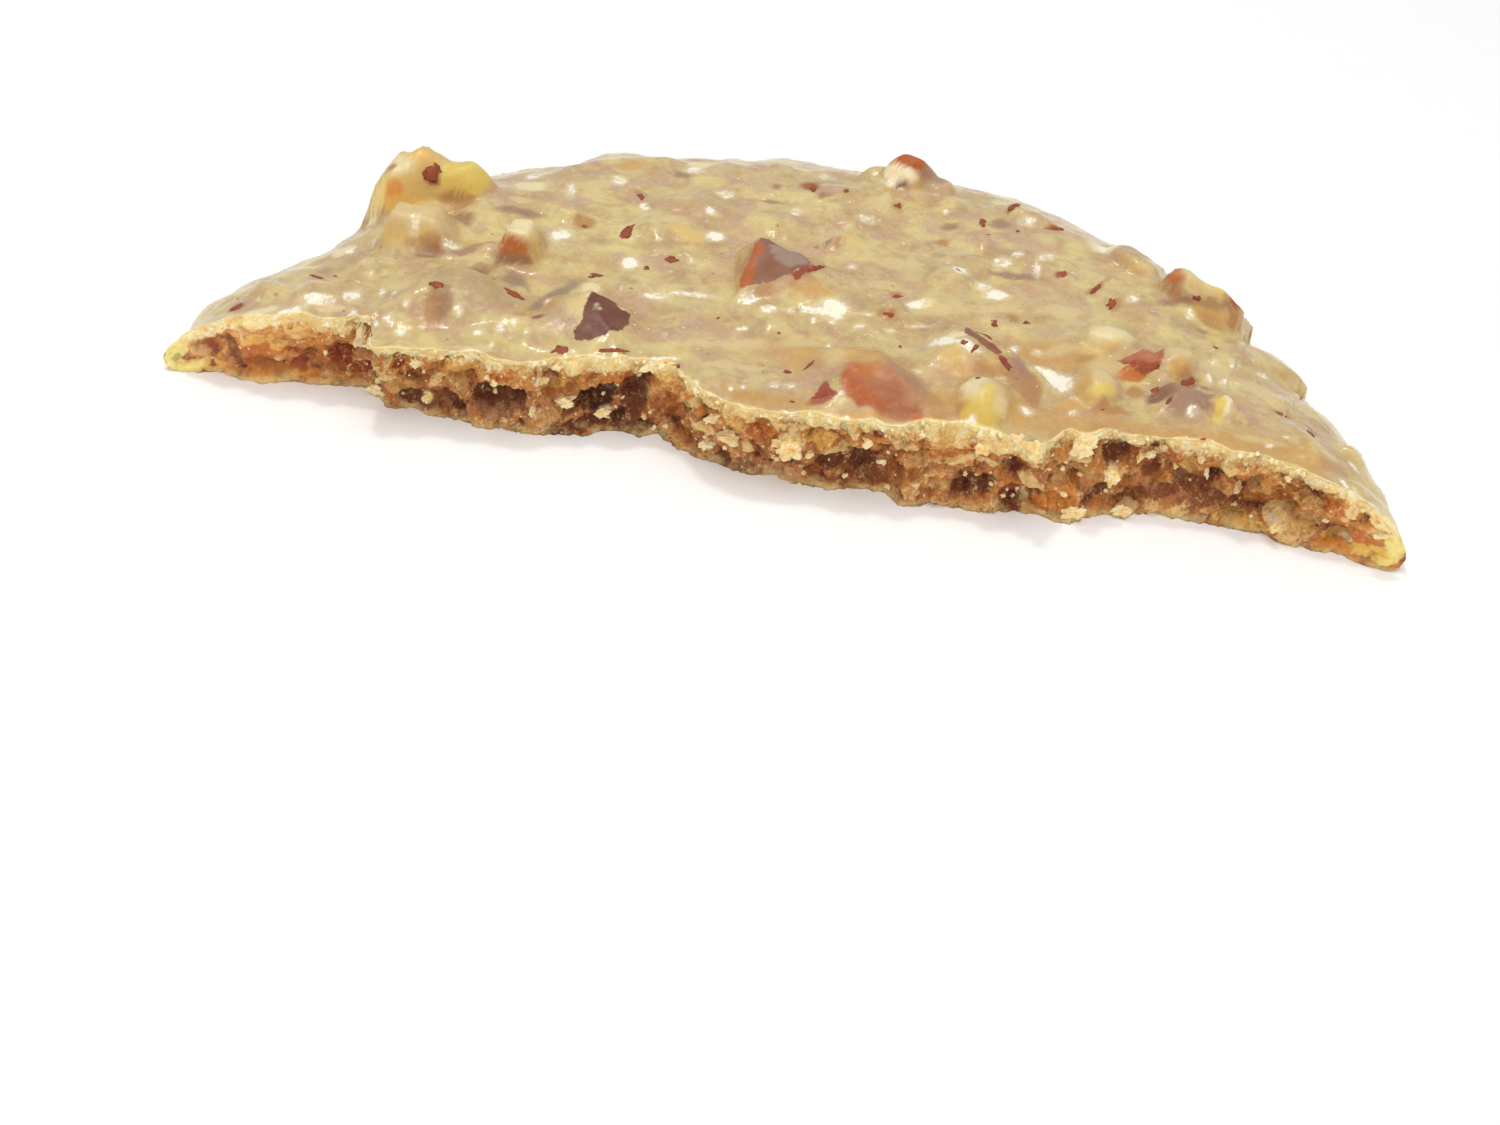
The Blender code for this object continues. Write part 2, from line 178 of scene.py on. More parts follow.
# Colour of the nuts and the film at the top, by tone: (x, y, length, width, direction). A later tone
# lies over the ones before it.
TOP_PATCHES = {
    "honey_film": (
        (12, 2.0, 10, 3, 0), (24, 3.6, 18, 5, 4), (35, 4.6, 12, 4.4, 0), (0, 0.6, 10, 2.2, 0),
        (5, 6.6, 16, 5, 0), (20, 12, 10, 5, 0), (-12, 1.6, 10, 1.6, 0),
    ),
    "cream_film": (
        (-30.3, 14.2, 6.4, 5.6, 0), (-22, 14.2, 3.8, 4.4, 0), (22.9, 9.2, 3.4, 5.6, 0),
        (23.8, 15.6, 4.6, 4.4, 0), (14.8, 3.9, 4, 4.4, 0), (29, 14.2, 3, 5, 10),
        (-37.3, 5.9, 4.1, 2.2, 63), (-33, 3, 2.9, 1.1, 16), (-14.8, 6.3, 5.1, 1.1, -88),
        (-11.5, 22.4, 3.1, 1.7, 20), (-18.8, 27, 5.1, 1.6, 29), (-24.2, 22.1, 2.4, 1.3, 18),
        (-8.6, 24.5, 1.7, 1.3, 27), (-3.2, 7.3, 4.5, 1.8, 18), (-3.4, 3.9, 5.8, 1.3, 17),
        (1.1, 8.5, 3.8, 1.8, 19), (-6.1, 6.4, 2.9, 1.3, 18), (2.1, 26.3, 1.2, 1, 76),
        (-2, 28.4, 4.2, 2, 20), (4.3, 31.1, 3.5, 2.3, 27), (7, 22.2, 4.8, 2.2, 2),
        (5.8, 18.5, 3.2, 1.7, 21), (18.2, 29.6, 2.8, 2.1, -49), (11.5, 16.3, 4, 1.4, 18),
        (15.3, 17.5, 3.2, 1.4, 20), (19.9, 18.4, 4.8, 2, 20), (20.1, 13, 3.5, 1.4, 37),
        (8.7, 9.8, 3, 1.3, 19), (10.4, 6.8, 2.3, 1.7, 32), (3.7, 5.9, 3.3, 2.1, -63),
        (23.3, 11.6, 3, 2.3, -85), (28.8, 13.6, 3.1, 1.9, 87), (38.4, 13.4, 3.6, 1.5, -61),
        (35.1, 12.9, 3, 2.6, -51), (34.8, 18.9, 3.5, 2, -53), (32.2, 14.3, 3.3, 2, 29),
        (31.6, 23, 3.1, 1.6, -6), (34.7, 5.8, 4.2, 1, -1), (-21.7, 0.8, 4.3, 0.8, 7),
    ),
    "tan_film": (
        (-23.6, 6.8, 7.4, 6.4, 10), (-34.6, 8, 3, 1.7, 41), (-12.3, 18.8, 4.8, 1.5, 18),
        (-16.5, 18.1, 3.2, 1.5, 18), (-9.9, 9.9, 4.5, 1.6, 17), (28.9, 6.1, 4.3, 1.2, 9),
        (29.3, 20.3, 3.4, 2.2, 31),
    ),
    "rosy_film": (
        (-39.7, 4, 3.6, 2, 63), (-16.6, 5.3, 3.5, 2.1, -81), (-21.2, 23.3, 4.9, 1.5, 18),
        (-6.6, 9, 3.7, 1.6, 18), (0.5, 2.7, 4.3, 1.7, 17), (-6.2, 32.6, 3.5, 2.7, 31),
        (8.5, 35.6, 4.5, 3, -77), (16.3, 28.8, 4.1, 1.7, -3), (25.5, 29.5, 3.5, 2.7, -47),
        (19.3, 15.3, 4, 1.9, 21), (28.5, 24.6, 1.2, 0.8, 73), (40.1, 7.8, 3.6, 1.6, -68),
    ),
    "gold_film": (
        (-17.3, 31.5, 2.9, 2.1, 23), (0.7, 14.8, 3.8, 2.6, -6), (12.9, 37.6, 1.5, 0.8, 88),
        (5.1, 6, 2.3, 1, -85), (13.9, 1.6, 1.6, 1.3, 56), (21.1, 6, 3, 1.2, 19),
        (21.9, 8.1, 2.9, 1.3, 88), (28.9, 12.1, 2.2, 1.5, 32), (31.5, 22.4, 3.4, 1.4, -13),
        (7.2, 0.3, 6.4, 1.1, 16), (13.2, 7.5, 4.6, 2.4, -35), (15.7, 7.9, 2.8, 1.8, -50),
        (12.0, 3.4, 2.0, 3.8, 0), (17.5, 3.4, 1.6, 4.0, 10),
    ),
    "mauve_film": (
        (-1.8, 16.6, 6, 4.4, 0), (29.4, 8.6, 4.2, 4.4, 0), (9.6, 3.6, 3.4, 5.2, 15),
        (17.2, 6.6, 4.6, 2, -52), (-40.4, 3.1, 1.6, 1.2, 27), (-25.6, 13.1, 2, 1.6, 66),
        (-26.5, 12, 2.3, 0.9, 17), (-23.6, 20, 4.8, 1.4, 18), (-12.7, 31.3, 1.9, 1.6, 3),
        (0.9, 23.3, 1.3, 0.8, -88), (-4.6, 31.8, 1.6, 1.3, 79), (-4.5, 29, 2.5, 1, 8),
        (-0.3, 30.9, 1.5, 1.3, -22), (10.4, 29.3, 2.1, 1.3, 26), (14.5, 31.1, 2.7, 1.9, 33),
        (16.1, 22.7, 6, 1.2, 4), (17.2, 7.6, 3, 1.5, -52), (8.9, 4.8, 3.9, 2, -51),
        (29.5, 7.9, 3.2, 2.3, 39), (31, 11.4, 1.3, 0.5, 0), (36.5, 10.1, 1.7, 0.9, -23),
        (38.9, 9.3, 1.9, 0.7, -61), (31.2, 20.3, 1.4, 0.9, 35), (28.6, 22.9, 2.6, 1.7, 32),
    ),
    "slate_film": (
        (-21.3, 10.4, 3.0, 2.6, -85), (-17.7, 10.3, 5.6, 1.3, 59), (-18.8, 7.5, 1.8, 1.2, 85),
    ),
    "amber_film": (
        (-29, 19.8, 2.7, 2.2, 18), (-25.5, 3.8, 3.5, 1.7, -71), (-18.4, 20.4, 2.3, 2.2, 54),
        (-15.2, 26.4, 1.8, 1, -60), (-2.6, 13.7, 2.3, 1.4, 21), (1.8, 23.2, 1.4, 0.8, 82),
        (1.3, 31.6, 1.2, 0.8, -89), (5.8, 31.4, 1.9, 1.2, 89), (9.9, 26.5, 1.3, 1.1, -10),
        (15.2, 34.1, 2.5, 0.8, 59), (22.8, 23.4, 4.5, 0.7, 61), (24.2, 21, 2.4, 1.2, 75),
        (7.2, 17.2, 1.6, 1.3, 34), (7.1, 13.9, 2.3, 1, -13), (16.3, 16.3, 1.8, 1.2, -85),
        (22, 12.5, 2.1, 0.9, 39), (17.3, 6.1, 4, 1.4, -38), (18.4, 6.5, 2.3, 1.6, -73),
        (14.6, 7.1, 2.7, 1.3, -33), (11.5, 2.5, 2.4, 2, 58), (12.7, 1.6, 2.9, 1.2, 18),
        (25.7, 8.8, 2.2, 1.6, 66), (24, 6.2, 3.7, 1, 17), (28.8, 23.3, 1.7, 0.8, 83),
        (33.6, 22.9, 2, 0.9, 82), (31.8, 22, 2.3, 1.1, -13), (-12.5, 2.1, 2.9, 0.6, 16),
    ),
    "butter_film": (
        (-30.4, 13.9, 4.1, 2.4, 17), (-10.1, 20.7, 3.6, 1.9, -29), (2.7, 24.1, 2.4, 1.7, -68),
        (12.2, 8.7, 2.6, 1.2, -27), (15.4, 1.8, 2.3, 1.7, 73), (23.3, 14.1, 3.9, 1.2, 18),
    ),
    "pale_film": (
        (-35.5, 18.5, 4.2, 1.4, -70), (-38.3, 1.6, 3.5, 1.3, 33), (-35.2, 11.7, 2.9, 1.4, 72),
        (-15.6, 11.3, 1.9, 1.5, 67), (-24.2, 25.1, 3.3, 2.3, 20), (-11.7, 34.2, 2.6, 1.8, 24),
        (23, 30.3, 3.1, 2.4, -51), (12.3, 10.9, 1.6, 1.1, -16), (14, 4, 1.8, 1.8, -3),
        (23.9, 15.2, 3.8, 2.1, 24), (32.1, 8.3, 2.6, 0.6, 87), (29.6, 24, 1.8, 1.5, -49),
        (41.7, 2.7, 2.9, 1, -79),
    ),
    # Partly the nuts' own brown, partly painted shade at the feet and flanks of lumps.
    "brown_film": (
        (-32.7, 12.4, 3.6, 0.5, -70), (-27.7, 17.8, 2.3, 2.2, 17), (-28.3, 11.8, 2.6, 1.8, 66),
        (-24, 10.4, 2.6, 2, 70), (-25.0, 4.6, 3.2, 1.7, -72), (29.7, 11.6, 2.1, 1.6, 53),
    ),
    "blush_film": (
        (7.8, 2.9, 6.2, 4.6, -15),
    ),
    "red_film": (
        (8.0, 2.4, 3.6, 2.8, -20), (10.1, 1.5, 1.2, 0.9, -20), (-1.8, 32.5, 2.1, 1.8, -66),
        (18.9, 32.1, 1.7, 1.5, -3), (19.7, 24.1, 1.6, 1, 68), (8.8, 1.2, 3.2, 1.4, -2),
        (14.5, 0.6, 1.2, 0.8, 84), (3.6, 1.1, 2.1, 1, 18),
    ),
    "ember_film": (
        (5.6, 2.9, 1.9, 3.4, 12), (6.6, 1.8, 3.4, 1.7, -12),
    ),
    "orange_film": (
        (6.2, 4.0, 2.0, 1.2, 30), (10.4, 1, 0.7, 0.6, 72), (25.6, 11.1, 2.8, 1.7, 27),
    ),
    "yellow_film": (
        (14.7, 2.4, 2.8, 2.2, 48), (23.3, 7.1, 2, 1.2, 26), (31.6, 7.7, 2.6, 0.8, 86),
    ),
    "plum_film": (
        (-18, 5.3, 1, 0.8, 18), (27.5, 8.7, 2.6, 1.5, 51),
    ),
}  # fmt: skip

# Strength of the tones that let the film show through.
SHEER = {
    "honey_film": 0.55, "cream_film": 0.65, "tan_film": 0.5, "rosy_film": 0.5, "mauve_film": 0.7,
    "slate_film": 0.7, "brown_film": 0.6, "amber_film": 0.75, "gold_film": 0.75, "blush_film": 0.75,
    "ember_film": 0.8, "red_film": 0.8,
}  # fmt: skip

# Colour on the steep sides of the tall pieces: (x, y, z, half width, half height, tone, strength).
# Partly the nuts' own colour, partly painted light on their tops and painted shade lower down.
SPOTS_WITH_PAINTED_LIGHT = (
    (-32.4, 20.6, 8.2, 4.2, 2.8, "butter_film", 0.9),
    (-33.7, 20.0, 9.1, 1.4, 0.7, "pale_film", 0.8), (-31.9, 20.4, 9.9, 1.5, 0.5, "gold", 0.6),
    (-35.0, 18.6, 7.4, 1.2, 1.6, "tip", 0.6), (-33.5, 18.4, 7.8, 0.7, 0.7, "orange", 0.9),
    (-32.6, 18.0, 6.9, 1.6, 0.6, "gold", 0.7), (-28.4, 21.2, 8.2, 2.2, 1.2, "yellow_film", 0.9),
    (-28.8, 20.4, 6.9, 1.6, 0.5, "amber_film", 0.9), (-30.8, 20.4, 8.1, 0.6, 0.6, "knob_spot", 1.0),
    (-34.0, 19.5, 8.9, 0.45, 0.5, "red_brown", 0.8),
    (-30.3, 12.3, 7.6, 2.8, 0.7, "butter_film", 0.75),
    (-30.6, 13.6, 8.7, 3.0, 0.8, "cream_film", 0.8),
    (-29.6, 11.3, 7.2, 1.3, 0.5, "brown_film", 0.45),
    (-28.0, 12.2, 7.4, 1.2, 0.5, "red_film", 0.45), (-21.8, 14.3, 8.7, 1.8, 0.7, "pale_film", 0.95),
    (-22.2, 12.3, 7.9, 1.5, 0.8, "orange_film", 0.95),
    (-21.8, 11.8, 6.9, 1.5, 0.45, "brown_film", 0.9), (-24.3, 14.2, 6.8, 0.6, 0.6, "red_film", 0.9),
    (-20.4, 13.9, 8.0, 0.5, 0.9, "yellow_film", 0.7),
    (6.3, 36.2, 8.0, 1.5, 0.7, "ember_film", 0.95), (8.3, 35.8, 7.2, 1.1, 0.9, "mauve_film", 0.8),
    # The white spot is a painted highlight on the rear cap; the plum below it is painted shade.
    (5.3, 35.1, 6.9, 1.6, 0.7, "white", 0.9), (5.7, 34.7, 6.3, 0.7, 0.35, "plum_film", 0.9),
    (31.8, 22.0, 6.3, 3.0, 0.35, "plum_film", 0.45), (31.4, 23.2, 7.6, 2.4, 0.8, "cream_film", 0.9),
    (32.2, 23.3, 7.5, 1.6, 0.5, "yellow_film", 0.9), (33.9, 23.7, 6.8, 0.9, 0.8, "red_brown", 0.8),
    (28.6, 24.3, 7.6, 0.8, 0.6, "orange_film", 0.7), (14.9, 1.8, 7.3, 1.5, 0.6, "yellow_film", 0.9),
    (13.6, 3.6, 8.2, 1.4, 0.6, "pale_film", 0.95), (16.1, 2.6, 7.6, 0.8, 0.9, "pale_film", 0.6),
)  # fmt: skip

# Patches whiter than the film, partly sugar bloom and partly painted glints: (x, y, length, width,
# direction).
BLOOM_AND_GLINTS = (
    (-34.3, 3.4, 1.8, 0.8, 5), (-32, 4.8, 1.4, 0.9, 79), (-35.7, 1.8, 1.9, 1.3, 43),
    (-30, 5.6, 1.1, 0.4, -70), (-27.5, 3.8, 0.5, 0.4, -67), (-27.2, 1.5, 0.8, 0.6, -68),
    (-34.7, 11.6, 1.2, 0.6, -69), (-31.9, 8.2, 0.6, 0.4, -68), (-30, 13.2, 1.1, 0.7, -70),
    (-27, 12.7, 1.2, 0.8, 61), (-28.9, 5.3, 0.6, 0.4, 81), (-28.4, 2.4, 0.7, 0.7, 2),
    (-21.7, 2.6, 0.6, 0.6, -71), (-20.4, 3.6, 1, 0.6, -73), (-19.6, 4.5, 0.7, 0.5, -74),
    (-23.7, 4.2, 0.7, 0.6, -70), (-18.4, 3.6, 0.5, 0.4, -75), (-18, 8, 0.5, 0.4, -77),
    (-13.8, 6.4, 0.5, 0.3, -77), (-19.7, 18, 1.6, 1.5, 47), (-20.8, 25.2, 2.3, 0.7, -75),
    (-24.6, 27.5, 1.4, 1.2, -80), (-17.4, 28.3, 1.4, 1, -81), (-14.4, 24.3, 1, 0.7, -81),
    (-13.6, 15.9, 1.5, 1.2, -85), (-8.6, 29.1, 1.4, 1, -5), (-9.1, 17.4, 0.9, 0.5, -80),
    (-8, 21.5, 1.3, 1.2, 51), (-11.9, 32.5, 1.4, 1.2, 87), (-9, 24.8, 1, 0.7, -84),
    (-3.7, 12.8, 1.2, 0.7, -13), (-1.9, 11.7, 1.1, 0.7, 8), (-0.3, 12.2, 0.7, 0.6, 80),
    (1.3, 12.8, 1.7, 0.6, 18), (2.9, 13.4, 2, 1.5, 28), (2.9, 12.2, 0.8, 0.5, -86),
    (5, 11.8, 0.8, 0.7, 40), (-8.1, 12.8, 2.6, 0.6, 8), (-10.6, 11.8, 1.8, 0.8, 18),
    (7.4, 12.1, 0.8, 0.4, 20), (9.5, 13.2, 1.5, 0.4, 17), (-3.5, 9.4, 0.8, 0.5, 23),
    (1.5, 11.7, 0.6, 0.4, 84), (5.2, 13.8, 0.9, 0.5, 22), (-8.8, 6.7, 0.5, 0.4, -81),
    (3.5, 28.2, 1.3, 1.1, 55), (3.3, 20.7, 0.8, 0.6, 79), (-1, 35.1, 1.4, 0.7, -85),
    (-2.3, 27.9, 1, 0.7, -88), (11.8, 21.5, 1.3, 1.1, -45), (15, 24.6, 1.4, 1.1, 49),
    (16.2, 26.1, 0.8, 0.8, -62), (18.5, 26.5, 1.6, 0.9, 49), (13.9, 20.3, 1.2, 1.1, -4),
    (14.9, 19.4, 1.7, 1.2, -3), (17.8, 24.2, 2.2, 0.5, -88), (9.1, 16.2, 1.6, 0.8, 21),
    (25.5, 22.1, 1, 0.7, 63), (23.3, 29.9, 1.5, 1.2, -58), (16.7, 32.4, 1.5, 1.1, 67),
    (11.3, 10.4, 1.8, 1.2, -30), (13.0, 9.5, 2.4, 0.8, -36), (9.9, 7.1, 0.7, 0.5, -4),
    (16.6, 11.8, 1.4, 0.6, 67), (18.4, 12.2, 0.7, 0.6, 65), (20.1, 8.6, 2.2, 1.8, -71),
    (18.8, 9.1, 1.1, 0.6, -36), (3.1, 8.8, 0.7, 0.4, -86), (14.2, 1, 0.7, 0.6, 34),
    (21.3, 5.2, 0.7, 0.5, 60), (18, 4, 1, 0.7, 27), (31.2, 12.7, 1.2, 0.4, 86),
    (32.4, 12.7, 0.9, 0.6, 64), (29.7, 7, 0.9, 0.6, 78), (32.3, 8.4, 2.1, 0.4, 87),
    (35.7, 15.9, 0.9, 0.7, 56), (33.3, 15.7, 0.9, 0.7, 57), (31.7, 15.2, 0.8, 0.5, 60),
    (30, 21.8, 1.2, 0.6, 82), (0.1, 2.6, 0.7, 0.6, 31), (1.2, 2.6, 0.7, 0.6, 89),
    (-2.8, 1, 0.5, 0.3, -82), (-2, 1.5, 0.5, 0.4, 85), (42.5, 8.7, 1.4, 0.6, -62),
    (41.8, 6.9, 1.1, 0.5, -73), (35.2, 5.3, 0.6, 0.4, 37), (40.7, 3.7, 1, 0.4, -59),
    (42.4, 2.6, 1.3, 0.7, -8), (9.7, -0.1, 2.1, 0.5, 11), (11.2, 0.7, 0.6, 0.4, -2),
    (5.7, -0.4, 0.7, 0.4, -87), (1.5, -0.7, 2.1, 0.3, 16), (-1.9, -1, 0.8, 0.5, 60),
    (-21.4, 0.5, 1.2, 0.6, -6), (-31, 2.1, 2.1, 0.6, -70), (-8.4, 3.6, 2.2, 0.5, 17),
    (-5.4, 0.8, 0.9, 0.5, 86),
)  # fmt: skip

# Bare faces of pecan with a crisp edge: the outline's points and the colour. Later ones lie on top.
BARE = (
    (((-14.8, 6.0), (-14.2, 9.0), (-13.4, 9.2), (-12.5, 7.4), (-11.6, 7.6), (-11.5, 6.4), (-11.8, 5.2),
      (-12.8, 4.1), (-13.8, 3.5), (-14.8, 3.5), (-15.1, 4.2), (-14.6, 4.9)), "facet_skin"),
    (((-3.9, 17.6), (-3.6, 18.6), (-2.0, 18.6), (-0.3, 18.0), (0.5, 17.4), (-0.9, 15.3), (-2.7, 14.2),
      (-4.5, 13.6), (-4.6, 15.1), (-4.2, 15.9)), "mauve_skin"),
    (((-2.9, 17.5), (-1.0, 18.4), (0.1, 17.5), (-1.0, 15.9), (-2.3, 16.0)), "grey_skin"),
    (((-4.1, 17.4), (-3.4, 17.2), (-3.7, 15.5), (-3.8, 13.9), (-4.6, 13.5), (-4.7, 15.1), (-4.3, 15.9)),
     "orange_skin"),
    (((-0.9, 15.3), (0.6, 17.3), (1.1, 17.2), (-0.4, 14.9)), "red_skin"),
    (((3.6, 2.9), (2.7, 1.2), (4.8, 1.4)), "red_skin"),
    (((12.9, 11.7), (14.8, 10.2), (15.7, 8.9), (15.4, 8.4), (14.3, 9.6), (12.7, 11.1)), "brown_skin"),
    (((24.4, 12.7), (25.9, 12.9), (27.6, 15.4), (27.7, 13.6), (27.4, 11.6), (26.7, 11.3), (25.8, 11.6),
      (24.9, 12.0)), "pip_skin"),
    (((24.6, 12.4), (25.8, 11.7), (26.7, 11.4), (27.5, 12.0), (27.3, 11.3), (26.3, 10.9), (25.3, 11.4)),
     "red_skin"),
    (((5.4, 35.8), (5.1, 36.4), (5.8, 36.9), (7.0, 36.6), (7.3, 35.9), (6.2, 35.6)), "orange_skin"),
)  # fmt: skip

# Flecks of pecan skin at the top: (x, y, length, width, direction of the length).
FLECKS = (
    (-30.9, 20.5, 1.5, 1.2, 50), (-25.8, 5.7, 1.1, 0.6, -10), (-20.6, 8.1, 1.8, 0.9, -2),
    (-15.7, 13.4, 1.5, 1, 42), (-15.6, 2.5, 1.3, 1, 19), (-12.3, 3, 2.9, 0.5, 7),
    (-14.8, 19.8, 2.4, 0.9, 72), (-10.6, 17, 1.1, 0.9, 85), (-12.2, 15.4, 0.9, 0.5, -79),
    (-40.4, 3.1, 1.2, 0.8, 27), (-35.3, 6.6, 1.9, 0.3, -28), (13, 30.8, 1.4, 0.6, -89),
    (15.4, 34.7, 1.7, 0.6, 64), (19.2, 32.2, 1.2, 0.9, 44), (19.9, 24.2, 1.2, 0.7, 73),
    (22.5, 22.7, 2, 0.4, 61), (23.9, 21.2, 1.6, 0.8, 74), (15, 15.3, 1, 0.5, 89),
    (17.4, 15.9, 0.8, 0.6, 68), (7.2, 13.9, 1.1, 0.7, -17), (7.3, 16.9, 1, 0.6, 23),
    (12.9, 9.5, 0.6, 0.5, 41), (13.7, 9, 0.9, 0.4, 59), (8.3, 10.3, 0.5, 0.3, -88),
    (14.2, 4.7, 0.6, 0.4, -47), (2.2, 5.3, 1.2, 0.4, 62), (0.7, 4.4, 0.8, 0.6, -9),
    (-5.5, 10.3, 0.4, 0.3, -85), (-0.7, 9.3, 0.4, 0.3, -89), (26.6, 11.4, 1.4, 0.5, 19),
    (0.9, 17, 1.8, 0.4, 57), (29.7, 11.6, 1.3, 0.9, 62), (27.1, 9.4, 1, 0.7, 69),
    (28, 7.6, 0.8, 0.4, 54), (38.6, 8.7, 1, 0.4, -62), (36.5, 10.1, 1, 0.5, -23),
    (-15.1, 26, 1.3, 0.5, -62), (1.3, 31.6, 0.9, 0.5, -88), (-1.6, 32.2, 1.2, 0.9, -49),
    (14.1, 13.4, 2.3, 0.6, -40), (15, 9.7, 1.7, 0.5, -52), (16, 7.7, 1.4, 0.4, -57),
    (-7, 3, 0.6, 0.3, -79), (-18.3, 19.9, 0.6, 0.5, -80), (5.8, 31.4, 1, 0.7, 88),
)  # fmt: skip

